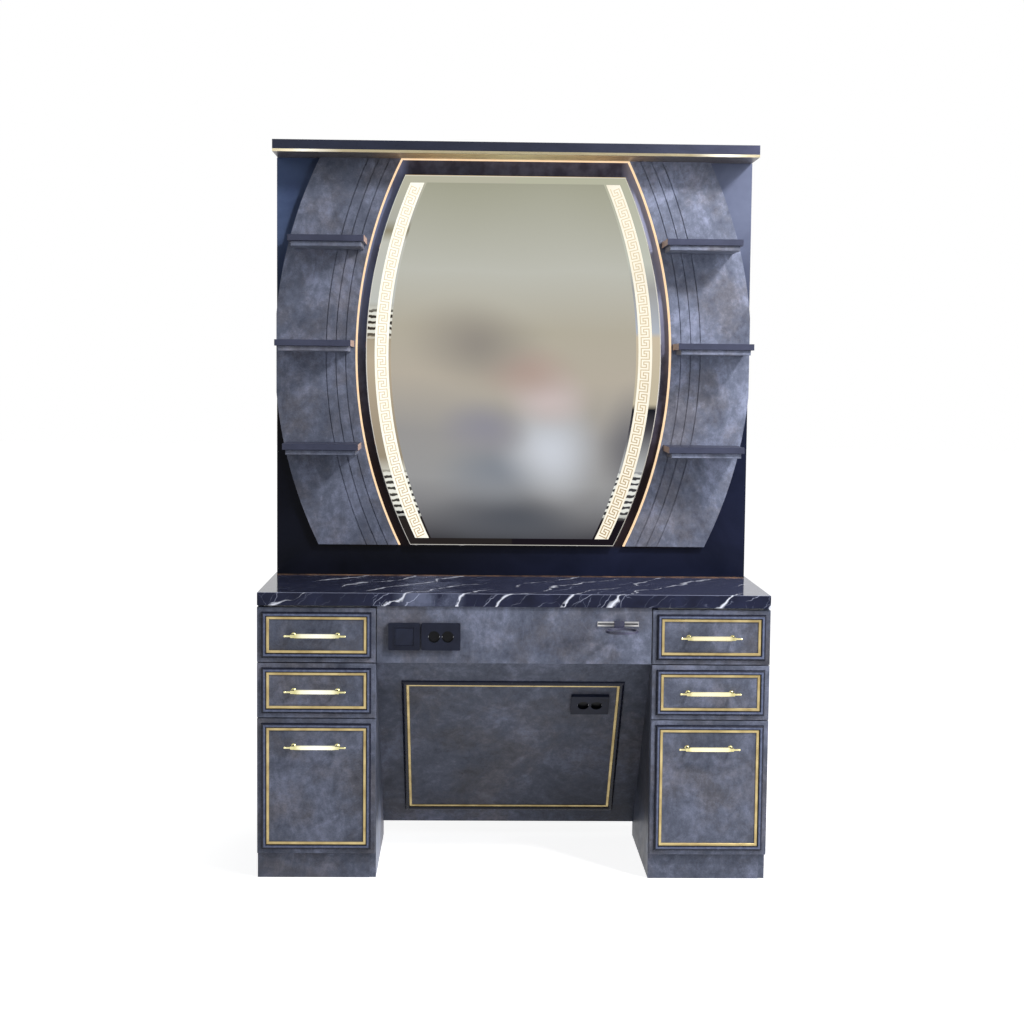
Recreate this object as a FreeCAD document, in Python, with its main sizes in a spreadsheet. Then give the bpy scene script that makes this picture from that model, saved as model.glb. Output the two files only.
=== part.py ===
"""Salon station: two drawer pedestals, a stone counter and a lit barrel mirror in a hutch.

Parametric model in millimetres. +X runs to the right, +Y to the back and +Z up, with the
origin on the floor under the middle of the whole station.
"""
import FreeCAD, Part
import math
import os
import re
import Sketcher

Vector = FreeCAD.Vector

# Driving dimensions: alias, value in millimetres, what it is.
SIZES = [
    ("cabinet_width", 347.0, "one pedestal, outside"),
    ("knee_width", 806.0, "clear width between the pedestals"),
    ("counter_depth", 520.0, "counter, front to back"),
    ("counter_thickness", 38.0, "stone slab"),
    ("counter_edge", 1.5, "eased edge of the slab"),
    ("board_thickness", 18.0, "carcass board"),
    ("back_thickness", 8.0, "back panels"),
    ("cabinet_rear_inset", 4.0, "pedestal back in front of the counter's rear edge"),
    ("plinth_height", 75.0, "plinth below the fronts"),
    ("plinth_proud", 3.0, "plinth in front of the side boards' front edges"),
    ("rail_depth", 80.0, "top rails of a pedestal, front to back"),
    ("rear_rail_height", 100.0, "rail under the counter behind the knee space"),
    ("front_setback", 7.0, "fronts behind the counter's front edge"),
    ("front_thickness", 18.0, "drawer front board"),
    ("front_air", 1.0, "closed front to carcass edge"),
    ("front_gap", 3.0, "gap between two fronts"),
    ("front_lift", 1.5, "lowest front above the plinth"),
    ("counter_gap", 6.5, "uppermost front below the counter"),
    ("drawer_front_height", 161.0, "upper and middle fronts"),
    ("deep_front_height", 401.0, "lower front"),
    ("front_overhang", 1.0, "front past the pedestal's outer side"),
    ("front_side_gap", 2.0, "front short of the pedestal's inner side"),
    ("apron_end_gap", 1.0, "apron short of each pedestal"),
    ("front_edge", 0.8, "eased edge of a front"),
    ("front_border", 13.0, "flat border outside the moulding"),
    ("moulding_width", 14.0, "dark moulding"),
    ("moulding_height", 8.0, "dark moulding above the board"),
    ("moulding_round", 7.5, "rounding of the moulding's outer shoulder"),
    ("moulding_inner_round", 4.5, "rounding of the moulding's inner shoulder"),
    ("trim_width", 8.0, "gold strip inside the moulding"),
    ("trim_height", 3.0, "gold strip above the board"),
    ("trim_bevel", 0.8, "bevel of the gold strip"),
    ("handle_pitch", 128.0, "between the two screw posts"),
    ("handle_length", 174.0, "over the round tips"),
    ("handle_projection", 28.0, "bar axis in front of the board"),
    ("handle_shift", 2.5, "handle left of the middle of its front"),
    ("bar_depth", 9.0, "bar, front to back"),
    ("grip_length", 119.0, "broad middle of the bar"),
    ("grip_height", 14.0, "broad middle of the bar"),
    ("grip_chamfer", 2.0, "long edges of the grip"),
    ("knuckle_height", 9.2, "bar over the posts"),
    ("knuckle_length", 11.0, "bar between grip and tip"),
    ("tip_radius", 3.3, "round tips"),
    ("post_radius", 4.2, "screw posts"),
    ("runner_space", 13.0, "drawer side to carcass side"),
    ("runner_height", 45.0, "carcass member of a runner"),
    ("runner_wall", 1.5, "folded steel"),
    ("runner_play", 0.5, "between the two members"),
    ("runner_mouth", 0.8, "carcass member to drawer side"),
    ("runner_rise", 35.0, "runner centre above the drawer's lower edge"),
    ("box_rear_space", 32.0, "closed drawer to back panel"),
    ("box_wall", 15.0, "drawer sides"),
    ("box_bottom", 8.0, "drawer bottom"),
    ("box_groove", 6.0, "groove for the bottom, into each side"),
    ("box_lip", 10.0, "drawer side below its bottom"),
    ("box_lift", 22.0, "drawer side above the lower edge of its front"),
    ("box_drop", 50.0, "drawer side lower than its front is high"),
    ("modesty_gap", 48.0, "slanted panel above the floor"),
    ("modesty_thickness", 18.0, "slanted panel"),
    ("modesty_foot", 14.0, "lower edge of the slanted panel, front to back"),
    ("modesty_side_margin", 85.0, "panel edge to gold frame, each side"),
    ("modesty_top_margin", 97.0, "panel top to gold frame"),
    ("modesty_foot_margin", 78.0, "gold frame to panel foot"),
    ("hutch_inset", 10.0, "hutch inside the counter's ends"),
    ("hutch_height", 1301.0, "counter to soffit"),
    ("hutch_thickness", 68.0, "whole hutch box"),
    ("cornice_board", 18.0, "each of the two cornice boards"),
    ("cornice_depth", 230.0, "cornice, front to back"),
    ("cornice_inset", 2.5, "cornice short of the hutch's edges"),
    ("cornice_strip_height", 8.0, "gold strip on the cornice"),
    ("cornice_strip_depth", 4.0, "gold strip on the cornice"),
    ("decor_thickness", 18.0, "curved side panels"),
    ("decor_foot_gap", 99.0, "counter to the side panels"),
    ("decor_overshoot", 5.5, "outer arc past the hutch's edge"),
    ("arc_rise", 598.5, "side panels' foot to the arcs' widest level"),
    ("groove_pitch", 30.5, "between the engraved arcs"),
    ("groove_width", 3.0, "engraved arc"),
    ("groove_depth", 2.5, "engraved arc"),
    ("mirror_width", 924.0, "widest part of the mirror"),
    ("mirror_reveal", 32.0, "dark gap between mirror and light line"),
    ("mirror_top_gap", 50.0, "soffit to mirror"),
    ("mirror_glass", 5.0, "mirror glass"),
    ("mirror_bevel", 1.5, "polished edge"),
    ("mirror_carrier", 18.0, "board behind the glass"),
    ("carrier_inset", 20.0, "carrier inside the glass edge"),
    ("channel_inset", 43.0, "light channel inside the glass edge"),
    ("channel_width", 14.0, "light channel routed in the carrier"),
    ("channel_depth", 9.0, "light channel routed in the carrier"),
    ("light_radius", 1373.0, "arc of the light line"),
    ("light_width", 5.0, "light profile beside the mirror"),
    ("top_light_height", 3.0, "light profile under the soffit"),
    ("shelf_width", 232.0, "upper board of a shelf"),
    ("shelf_depth", 158.0, "shelf in front of the side panel"),
    ("shelf_board", 19.0, "upper board of a shelf"),
    ("shelf_batten", 15.0, "lower board of a shelf"),
    ("shelf_batten_inset", 9.0, "lower board inside the upper one"),
    ("shelf_edge", 1.0, "eased edge of a shelf"),
    ("shelf_pitch", 316.0, "between two shelves"),
    ("shelf_top_gap", 248.0, "soffit to the uppermost shelf"),
    ("upper_shelf_offset", 81.0, "light line's widest point to shelf centre"),
    ("middle_shelf_offset", 120.0, "light line's widest point to shelf centre"),
    ("lower_shelf_offset", 96.5, "light line's widest point to shelf centre"),
    ("outlet_drop", 89.0, "counter underside to outlet centres"),
    ("outlet_height", 80.0, "switch and socket plates"),
    ("outlet_corner", 4.0, "corner of the plates"),
    ("outlet_block", 20.0, "insert behind the plate's back"),
    ("outlet_block_margin", 14.0, "insert inside the plate's outline"),
    ("outlet_clearance", 0.5, "insert in its cut-out"),
    ("switch_offset", 81.0, "pedestal to switch centre"),
    ("switch_width", 92.0, "switch plate"),
    ("switch_depth", 12.0, "switch plate"),
    ("rocker_width", 52.0, "rocker"),
    ("rocker_height", 50.0, "rocker"),
    ("rocker_thickness", 6.0, "rocker"),
    ("rocker_sink", 3.0, "pivot behind the switch plate's face"),
    ("rocker_gap", 0.7, "rocker in its window"),
    ("rocker_pocket", 9.5, "window depth"),
    ("rocker_tilt", 4.0, "degrees to either side of level"),
    ("pivot_radius", 2.0, "rocker pivot"),
    ("pivot_length", 1.5, "rocker pivot past the rocker"),
    ("pivot_play", 0.05, "pivot in its hole"),
    ("plate_gap", 4.0, "switch plate to socket plate"),
    ("socket_width", 114.0, "double socket plate"),
    ("socket_depth", 11.0, "double socket plate"),
    ("socket_pitch", 40.0, "between the two wells"),
    ("well_radius", 17.0, "socket well"),
    ("well_depth", 9.0, "socket well"),
    ("low_socket_margin", 171.0, "pedestal to the slanted panel's socket"),
    ("low_socket_drop", 180.0, "slanted panel's top to its socket"),
    ("holder_offset", 100.0, "pedestal to holder centre"),
    ("holder_drop", 48.5, "counter underside to holder rail centre"),
    ("holder_rail_length", 121.0, "holder rail"),
    ("holder_rail_height", 14.0, "holder rail"),
    ("holder_rail_depth", 6.0, "holder rail"),
    ("rail_groove_height", 4.5, "groove along the rail"),
    ("rail_groove_depth", 4.0, "groove along the rail"),
    ("clamp_width", 30.0, "clamp on the rail"),
    ("clamp_wall", 1.8, "clamp above and below the rail"),
    ("clamp_depth", 12.0, "clamp, from the board to its front"),
    ("clamp_offset", 3.0, "clamp right of the rail's middle"),
    ("ring_offset", 5.5, "ring right of the rail's middle"),
    ("ring_reach", 108.0, "ring in front of the counter's edge"),
    ("ring_radius", 45.0, "middle of the ring's band"),
    ("ring_thickness", 6.0, "band, inside to outside"),
    ("ring_height", 7.0, "band"),
    ("ring_drop", 12.0, "rail centre to ring"),
]

doc = FreeCAD.newDocument("SalonStation")
sheet = doc.addObject("Spreadsheet::Sheet", "Sizes")
for row, (alias, size, meaning) in enumerate(SIZES, start=1):
    sheet.set(f"A{row}", meaning)
    sheet.set(f"B{row}", str(size))
    sheet.setAlias(f"B{row}", alias)
doc.recompute()

ALIAS = re.compile(r"\b(" + "|".join(alias for alias, _, _ in SIZES) + r")\b")
nodes = []


# ---------------------------------------------------------------- shared helpers

def formula(text):
    """An expression over the sheet's aliases, as the document reads it."""
    return ALIAS.sub(r"Sizes.\1", text)


def number(text):
    """The present value of such an expression."""
    return float(FreeCAD.Units.Quantity(sheet.evalExpression(formula(text))).Value)


def bind(thing, **properties):
    for name, text in properties.items():
        thing.setExpression(name, formula(text))


def place(thing, x="0", y="0", z="0"):
    """Put the object's own origin at a point, each coordinate an expression."""
    for axis, text in (("x", x), ("y", y), ("z", z)):
        thing.setExpression(f"Placement.Base.{axis}", formula(text))
    return thing


def turn(thing, axis, degrees):
    """Turn the object about an axis through its own origin."""
    thing.Placement = FreeCAD.Placement(Vector(), FreeCAD.Rotation(axis, degrees))


def tilt(thing, angle):
    """Turn the object about its own X axis by an expression in degrees."""
    thing.Placement = FreeCAD.Placement(Vector(), FreeCAD.Rotation(Vector(1, 0, 0), 1))
    thing.setExpression("Placement.Rotation.Angle", formula(angle))
    return thing


def node(thing, label):
    """Keep the object as a finished sub-part under this name."""
    thing.Label = label
    nodes.append(thing)
    return thing


def block(name, size, corner):
    """A board: length, width and height from its low corner."""
    box = doc.addObject("Part::Box", name)
    bind(box, Length=size[0], Width=size[1], Height=size[2])
    return place(box, *corner)


def rod(name, radius, length, corner, direction):
    """A cylinder from a point, along a direction."""
    cylinder = doc.addObject("Part::Cylinder", name)
    bind(cylinder, Radius=radius, Height=length)
    upright = Vector(0, 0, 1)
    cylinder.Placement = FreeCAD.Placement(Vector(), FreeCAD.Rotation(upright, direction))
    return place(cylinder, *corner)


def cut(name, base, *tools):
    """The base less each tool."""
    for index, tool in enumerate(tools):
        result = doc.addObject("Part::Cut", f"{name}_{index}")
        result.Base = base
        result.Tool = tool
        base = result
    return base


def fuse(name, first, *others):
    """One solid of pieces that meet."""
    for index, other in enumerate(others):
        result = doc.addObject("Part::Fuse", f"{name}_{index}")
        result.Base = first
        result.Tool = other
        first = result
    return first


def group(name, members):
    """Separate solids that share a node."""
    compound = doc.addObject("Part::Compound", name)
    compound.Links = members
    return compound


def origin_plane(body, role):
    return next(plane for plane in body.Origin.OriginFeatures if plane.Role == role)


def arc_between(start, end, radius, bulge):
    """A circular arc between two points that bulges towards the given side in X."""
    middle = (start + end) * 0.5
    half = (end - start).Length / 2
    reach = math.sqrt(radius ** 2 - half ** 2)
    across = Vector(start.y - end.y, end.x - start.x, 0).normalize()
    if across.x * bulge > 0:
        across = -across
    centre = middle + across * reach
    angles = [math.atan2(p.y - centre.y, p.x - centre.x) for p in (start, end)]
    circle = Part.Circle(centre, Vector(0, 0, 1), radius)
    forward = (angles[1] - angles[0]) % (2 * math.pi) < math.pi
    first, last = angles if forward else reversed(angles)
    return Part.ArcOfCircle(circle, first, last), forward


def outline(body, role, name, corners, arcs=None):
    """A closed, fully constrained sketch through corners that are pairs of expressions.

    arcs maps the number of a side to its radius and to the side it bulges towards.
    """
    arcs = arcs or {}
    sketch = body.newObject("Sketcher::SketchObject", name)
    sketch.AttachmentSupport = [(origin_plane(body, role), "")]
    sketch.MapMode = "FlatFace"
    points = [Vector(number(x), number(y), 0) for x, y in corners]
    count = len(points)
    starts = []
    ends = []
    for side in range(count):
        start, end = points[side], points[(side + 1) % count]
        forward = True
        if side in arcs:
            radius, bulge = arcs[side]
            shape, forward = arc_between(start, end, number(radius), bulge)
            sketch.addGeometry(shape)
        else:
            sketch.addGeometry(Part.LineSegment(start, end))
        starts.append(1 if forward else 2)
        ends.append(2 if forward else 1)
    for side in range(count):
        following = (side + 1) % count
        join = Sketcher.Constraint("Coincident", side, ends[side], following, starts[following])
        sketch.addConstraint(join)
    for side, (x, y) in enumerate(corners):
        for kind, text, value in (("X", x, points[side].x), ("Y", y, points[side].y)):
            rule = Sketcher.Constraint("Distance" + kind, -1, 1, side, starts[side], value)
            index = sketch.addConstraint(rule)
            sketch.setExpression(f"Constraints[{index}]", formula(text))
    for side, (radius, _) in arcs.items():
        index = sketch.addConstraint(Sketcher.Constraint("Radius", side, number(radius)))
        sketch.setExpression(f"Constraints[{index}]", formula(radius))
    return sketch


def ring_outline(body, role, name, width, height, rim):
    """A rectangular frame centred on the body's origin, with its inner edge rim inside."""
    sketch = body.newObject("Sketcher::SketchObject", name)
    sketch.AttachmentSupport = [(origin_plane(body, role), "")]
    sketch.MapMode = "FlatFace"
    for shrink in ("0", rim):
        half_x = f"(({width}) / 2 - ({shrink}))"
        half_y = f"(({height}) / 2 - ({shrink}))"
        signs = ((-1, -1), (1, -1), (1, 1), (-1, 1))
        points = [Vector(sx * number(half_x), sy * number(half_y), 0) for sx, sy in signs]
        first = sketch.GeometryCount
        for side in range(4):
            sketch.addGeometry(Part.LineSegment(points[side], points[(side + 1) % 4]))
        for side in range(4):
            following = first + (side + 1) % 4
            sketch.addConstraint(Sketcher.Constraint("Coincident", first + side, 2, following, 1))
        for side, (sx, sy) in enumerate(signs):
            rows = (("X", sx, half_x, points[side].x), ("Y", sy, half_y, points[side].y))
            for kind, sign, text, value in rows:
                rule = Sketcher.Constraint("Distance" + kind, -1, 1, first + side, 1, value)
                index = sketch.addConstraint(rule)
                sketch.setExpression(f"Constraints[{index}]", formula(f"{sign} * {text}"))
    return sketch


def pad(body, name, sketch, length, backwards=False):
    feature = body.newObject("PartDesign::Pad", name)
    feature.Profile = sketch
    feature.Reversed = backwards
    bind(feature, Length=length)
    sketch.Visibility = False
    return feature


def pocket(body, name, sketch, depth, backwards=False):
    """A pocket that is checked to take material away."""
    before = body.Shape.Volume
    feature = body.newObject("PartDesign::Pocket", name)
    feature.Profile = sketch
    feature.Reversed = backwards
    bind(feature, Length=depth)
    doc.recompute()
    assert body.Shape.Volume < before, f"{name} cuts nothing"
    return feature


def edges_where(feature, test):
    """Names of the feature's edges whose two ends both pass the test."""
    return [
        f"Edge{number_of}"
        for number_of, edge in enumerate(feature.Shape.Edges, start=1)
        if all(test(vertex.Point) for vertex in edge.Vertexes)
    ]


def soften(body, kind, name, feature, size, test):
    """A fillet or chamfer on the feature's edges that pass the test."""
    doc.recompute()
    finish = body.newObject(f"PartDesign::{kind}", name)
    finish.Base = (feature, edges_where(feature, test))
    bind(finish, **{"Radius" if kind == "Fillet" else "Size": size})
    return finish


def near(first, second):
    return abs(first - second) < 1e-4


# ---------------------------------------------------------------- levels and planes

WIDTH = "(2 * cabinet_width + knee_width)"
FRONT = "((ring_reach - counter_depth) / 2)"
BACK = "((ring_reach + counter_depth) / 2)"
FACE = f"({FRONT} + front_setback)"
FRONT_REAR = f"({FACE} + front_thickness)"
CARCASS = f"({FRONT_REAR} + front_air)"
CABINET_BACK = f"({BACK} - cabinet_rear_inset)"
BACK_PANEL = f"({CABINET_BACK} - back_thickness)"
INNER_DEPTH = f"({BACK_PANEL} - {CARCASS})"
HUTCH = f"({BACK} - hutch_thickness)"
DECOR = f"({HUTCH} - decor_thickness)"

KNEE = "(knee_width / 2)"
CABINET_END = f"({KNEE} + cabinet_width)"
CABINET_MIDDLE = f"({KNEE} + cabinet_width / 2)"
INNER_WIDTH = "(cabinet_width - 2 * board_thickness)"
PLINTH_REAR = f"({CARCASS} - plinth_proud + board_thickness)"

LOWER = "(plinth_height + front_lift)"
MIDDLE = f"({LOWER} + deep_front_height + front_gap)"
UPPER = f"({MIDDLE} + drawer_front_height + front_gap)"
CARCASS_TOP = f"({UPPER} + drawer_front_height + counter_gap)"
COUNTER = f"({CARCASS_TOP} + counter_thickness)"
SOFFIT = f"({COUNTER} + hutch_height)"
DECOR_FOOT = f"({COUNTER} + decor_foot_gap)"
HUTCH_WIDTH = f"({WIDTH} - 2 * hutch_inset)"
ARC_LEVEL = f"({DECOR_FOOT} + arc_rise)"
LIGHT_APEX = "(mirror_width / 2 + mirror_reveal)"

SIDES = (("left", -1), ("right", 1))
TIERS = (
    ("upper", UPPER, "drawer_front_height"),
    ("middle", MIDDLE, "drawer_front_height"),
    ("lower", LOWER, "deep_front_height"),
)


# ---------------------------------------------------------------- counter and pedestals

def counter_top():
    body = doc.addObject("PartDesign::Body", "CounterTop")
    half = f"{WIDTH} / 2"
    corners = [(f"-{half}", FRONT), (half, FRONT), (half, BACK), (f"-{half}", BACK)]
    slab = pad(body, "Slab", outline(body, "XY_Plane", "SlabOutline", corners), "counter_thickness")
    rim = number("counter_thickness")
    soften(body, "Fillet", "EasedEdge", slab, "counter_edge", lambda p: near(p.z, rim))
    node(place(body, z=CARCASS_TOP), "counter_top")


def side_boards():
    """The four upright boards that carry the counter.

    The left-hand board of each pedestal is notched, so that the plinth runs across its edge.
    """
    depth = f"{CABINET_BACK} - {CARCASS}"
    places = {
        "left_outer_side": f"-{CABINET_END}",
        "left_inner_side": f"-{KNEE} - board_thickness",
        "right_inner_side": KNEE,
        "right_outer_side": f"{CABINET_END} - board_thickness",
    }
    for label, x in places.items():
        board = block(f"{label}_board", ("board_thickness", depth, CARCASS_TOP),
                      (x, CARCASS, "0"))
        if label in ("left_outer_side", "right_inner_side"):
            notch = block(f"{label}_notch",
                          ("board_thickness", f"{PLINTH_REAR} - {CARCASS}", "plinth_height"),
                          (x, CARCASS, "0"))
            board = cut(f"{label}_notched", board, notch)
        node(board, label)


def between_sides(name, sign, depth, height, y, z):
    """A board that spans one pedestal between its two sides."""
    x = f"{sign} * {CABINET_MIDDLE} - {INNER_WIDTH} / 2"
    return block(name, (INNER_WIDTH, depth, height), (x, y, z))


def carcass():
    cross_boards = []
    backs = []
    plinths = []
    for side, sign in SIDES:
        bottom = between_sides(f"{side}_bottom", sign, INNER_DEPTH, "board_thickness",
                               CARCASS, "plinth_height")
        rail_z = f"{CARCASS_TOP} - board_thickness"
        front_rail = between_sides(f"{side}_front_rail", sign, "rail_depth", "board_thickness",
                                   CARCASS, rail_z)
        rear_rail = between_sides(f"{side}_rear_rail", sign, "rail_depth", "board_thickness",
                                  f"{BACK_PANEL} - rail_depth", rail_z)
        cross_boards += [bottom, front_rail, rear_rail]
        backs.append(between_sides(f"{side}_back", sign, "back_thickness",
                                   f"{CARCASS_TOP} - plinth_height", BACK_PANEL, "plinth_height"))
    plinth_y = f"{CARCASS} - plinth_proud"
    spans = {"left_plinth": (f"-1 * {CABINET_END} - front_overhang", f"-1 * {KNEE}"),
             "right_plinth": (KNEE, CABINET_END)}
    for name, (left, right) in spans.items():
        length = f"{right} - board_thickness - ({left})"
        plinths.append(block(name, (length, "board_thickness", "plinth_height"),
                             (left, plinth_y, "0")))
    cross_boards.append(block(
        "knee_rail", ("knee_width", "board_thickness", "rear_rail_height"),
        (f"-{KNEE}", f"{CABINET_BACK} - board_thickness", f"{CARCASS_TOP} - rear_rail_height")))
    node(group("CrossBoards", cross_boards), "carcass_cross_boards")
    node(group("Backs", backs), "cabinet_backs")
    node(group("Plinths", plinths), "plinth_boards")


# ---------------------------------------------------------------- drawers

RUNNER_LENGTH = f"({INNER_DEPTH} - box_rear_space)"
BOX_WIDTH = f"({INNER_WIDTH} - 2 * runner_space)"
CHANNEL_DEPTH = "(runner_space - runner_mouth)"
FRONT_WIDTH = "(cabinet_width + front_overhang - front_side_gap)"
FRONT_MIDDLE = f"({CABINET_MIDDLE} + (front_overhang + front_side_gap) / 2)"


def runner_level(base):
    return f"{base} + box_lift + runner_rise"


def channel(name, depth, height, x, opens, y, z):
    """A folded steel C section along Y, centred on z, open towards +X or -X."""
    outer = block(f"{name}_outer", (depth, RUNNER_LENGTH, height), (x, y, f"{z} - ({height}) / 2"))
    shift = "runner_wall" if opens > 0 else "-1 * runner_wall"
    hollow = f"({height}) - 2 * runner_wall"
    inner = block(f"{name}_hollow", (depth, RUNNER_LENGTH, hollow),
                  (f"{x} + {shift}", y, f"{z} - ({hollow}) / 2"))
    return cut(name, outer, inner)


def runners():
    """The runner members on the carcass sides: a pair for each drawer."""
    members = []
    for side, sign in SIDES:
        for tier, base, _ in TIERS:
            for wall, towards in (("a", 1), ("b", -1)):
                near_wall = f"{sign} * {CABINET_MIDDLE} - {towards} * {INNER_WIDTH} / 2"
                x = near_wall if towards > 0 else f"{near_wall} - {CHANNEL_DEPTH}"
                members.append(channel(f"{side}_{tier}_runner_{wall}", CHANNEL_DEPTH,
                                       "runner_height", x, towards, CARCASS, runner_level(base)))
    node(group("Runners", members), "cabinet_runners")


def drawer_box(name, sign, base, height):
    """Four walls round a grooved-in bottom, with the sliding runner members."""
    centre = f"{sign} * {CABINET_MIDDLE}"
    x = f"{centre} - {BOX_WIDTH} / 2"
    z = f"{base} + box_lift"
    tall = f"({height} - box_drop)"
    outer = block(f"{name}_walls", (BOX_WIDTH, f"{RUNNER_LENGTH} + front_air", tall),
                  (x, FRONT_REAR, z))
    inside = (f"{BOX_WIDTH} - 2 * box_wall", f"{RUNNER_LENGTH} + front_air - 2 * box_wall", tall)
    hollow = block(f"{name}_hollow", inside, (f"{x} + box_wall", f"{FRONT_REAR} + box_wall", z))
    panel = (f"{inside[0]} + 2 * box_groove", f"{inside[1]} + 2 * box_groove", "box_bottom")
    panel_at = (f"{x} + box_wall - box_groove", f"{FRONT_REAR} + box_wall - box_groove",
                f"{z} + box_lip")
    groove = block(f"{name}_groove", panel, panel_at)
    walls = cut(f"{name}_shell", outer, hollow, groove)
    bottom = block(f"{name}_bottom", panel, panel_at)
    members = [walls, bottom]
    depth = "(runner_space - runner_wall - runner_play)"
    tongue = "runner_height - 2 * runner_wall - 2 * runner_play"
    for wall, towards in (("a", 1), ("b", -1)):
        edge = f"{centre} - {towards} * {BOX_WIDTH} / 2"
        start = f"{edge} - {depth}" if towards > 0 else edge
        members.append(channel(f"{name}_slide_{wall}", depth, tongue, start, -towards, CARCASS,
                               runner_level(base)))
    return group(f"{name}_group", members)


def front_board(name, height):
    """A front with eased edges, centred on its outer face."""
    body = doc.addObject("PartDesign::Body", name)
    half_x = f"{FRONT_WIDTH} / 2"
    half_z = f"({height}) / 2"
    corners = [(f"-{half_x}", f"-{half_z}"), (half_x, f"-{half_z}"), (half_x, half_z),
               (f"-{half_x}", half_z)]
    board = pad(body, f"{name}_pad", outline(body, "XZ_Plane", f"{name}_outline", corners),
                "front_thickness", backwards=True)
    soften(body, "Chamfer", f"{name}_edge", board, "front_edge", lambda p: near(p.y, 0))
    return body


def moulding(name, width, height):
    """A mitred bead: a long round outside and a tighter one towards the gold strip."""
    body = doc.addObject("PartDesign::Body", name)
    ring = ring_outline(body, "XZ_Plane", f"{name}_outline", width, height, "moulding_width")
    frame = pad(body, f"{name}_pad", ring, "moulding_height")
    half = number(f"({width}) / 2")
    rim = number("moulding_width")
    top = -number("moulding_height")
    tall = number(f"({height}) / 2")

    def outside(p):
        return near(p.y, top) and (near(abs(p.x), half) or near(abs(p.z), tall))

    def inside(p):
        return near(p.y, top) and abs(p.x) < half - rim / 2 and abs(p.z) < tall - rim / 2

    rounded = soften(body, "Fillet", f"{name}_round", frame, "moulding_round", outside)
    soften(body, "Fillet", f"{name}_inner_round", rounded, "moulding_inner_round", inside)
    return body


def trim(name, width, height):
    """The gold strip just inside a moulding of the given outer size."""
    body = doc.addObject("PartDesign::Body", name)
    ring = ring_outline(body, "XZ_Plane", f"{name}_outline", f"({width}) - 2 * moulding_width",
                        f"({height}) - 2 * moulding_width", "trim_width")
    frame = pad(body, f"{name}_pad", ring, "trim_height")
    top = -number("trim_height")
    soften(body, "Chamfer", f"{name}_bevel", frame, "trim_bevel", lambda p: near(p.y, top))
    return body


def handle(name):
    """A flat bar with a broad grip and round tips, on two round posts."""
    body = doc.addObject("PartDesign::Body", name)
    grip_x = "(grip_length / 2)"
    knuckle_x = f"({grip_x} + knuckle_length)"
    right = [(knuckle_x, "-1 * knuckle_height / 2"), (knuckle_x, "knuckle_height / 2"),
             (grip_x, "knuckle_height / 2"), (grip_x, "grip_height / 2")]
    left = [(f"-1 * {x}", f"-1 * ({z})") for x, z in right]
    upper_left = [(f"-1 * {grip_x}", "grip_height / 2"), (f"-1 * {grip_x}", "knuckle_height / 2")]
    lower_right = [(grip_x, "-1 * grip_height / 2"), (grip_x, "-1 * knuckle_height / 2")]
    sketch = outline(body, "XZ_Plane", f"{name}_outline", right + upper_left + left + lower_right)
    bar = pad(body, f"{name}_flat", sketch, "bar_depth")
    bar.SideType = "Symmetric"
    high = number("grip_height / 2")
    soften(body, "Chamfer", f"{name}_edge", bar, "grip_chamfer", lambda p: near(abs(p.z), high))
    for end, sign in (("a", -1), ("b", 1)):
        tip = body.newObject("PartDesign::AdditiveCylinder", f"{name}_tip_{end}")
        bind(tip, Radius="tip_radius", Height=f"handle_length / 2 - {knuckle_x}")
        turn(tip, Vector(0, 1, 0), sign * 90)
        place(tip, f"{sign} * {knuckle_x}")
        post = body.newObject("PartDesign::AdditiveCylinder", f"{name}_post_{end}")
        bind(post, Radius="post_radius", Height="handle_projection")
        turn(post, Vector(1, 0, 0), 90)
        place(post, f"{sign} * handle_pitch / 2", "handle_projection")
    return body


def drawers():
    for side, sign in SIDES:
        for tier, base, height in TIERS:
            label = f"{side}_{tier}_drawer"
            x = f"{sign} * {FRONT_MIDDLE}"
            z = f"{base} + {height} / 2"
            width = f"{FRONT_WIDTH} - 2 * front_border"
            tall = f"{height} - 2 * front_border"
            node(place(front_board(f"{label}_board", height), x, FACE, z), f"{label}_front")
            node(place(moulding(f"{label}_frame", width, tall), x, FACE, z), f"{label}_moulding")
            node(place(trim(f"{label}_strip", width, tall), x, FACE, z), f"{label}_trim")
            handle_z = f"{base} + {height} - drawer_front_height / 2"
            bar = handle(f"{label}_bar")
            node(place(bar, f"{x} - handle_shift", f"{FACE} - handle_projection", handle_z),
                 f"{label}_handle")
            node(drawer_box(label, sign, base, height), f"{label}_box")


# ---------------------------------------------------------------- knee space

SLANT_TOP = FRONT_REAR
SLANT_FOOT = f"({CABINET_BACK} - modesty_foot)"
SLANT_RUN = f"({SLANT_FOOT} - {SLANT_TOP})"
SLANT_RISE = f"({UPPER} - modesty_gap)"
SLANT_LENGTH = f"sqrt({SLANT_RUN} ^ 2 + {SLANT_RISE} ^ 2)"
SLANT_ANGLE = f"atan({SLANT_RUN} / {SLANT_RISE})"


def on_slant(thing, x, drop):
    """Lay an object on the slanted panel's face, drop below its upper edge."""
    tilt(thing, SLANT_ANGLE)
    y = f"{SLANT_TOP} + ({drop}) * {SLANT_RUN} / {SLANT_LENGTH}"
    z = f"{UPPER} - ({drop}) * {SLANT_RISE} / {SLANT_LENGTH}"
    return place(thing, x, y, z)


def outlet_recess(name, width):
    """The cut-out in a board for one insert, centred on the board's face."""
    wide = f"({width}) - 2 * outlet_block_margin + 2 * outlet_clearance"
    high = "outlet_height - 2 * outlet_block_margin + 2 * outlet_clearance"
    tool = doc.addObject("Part::Box", name)
    bind(tool, Length=wide, Width="4 * board_thickness", Height=high)
    return tool, f"-1 * ({wide}) / 2", f"-1 * ({high}) / 2"


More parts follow.
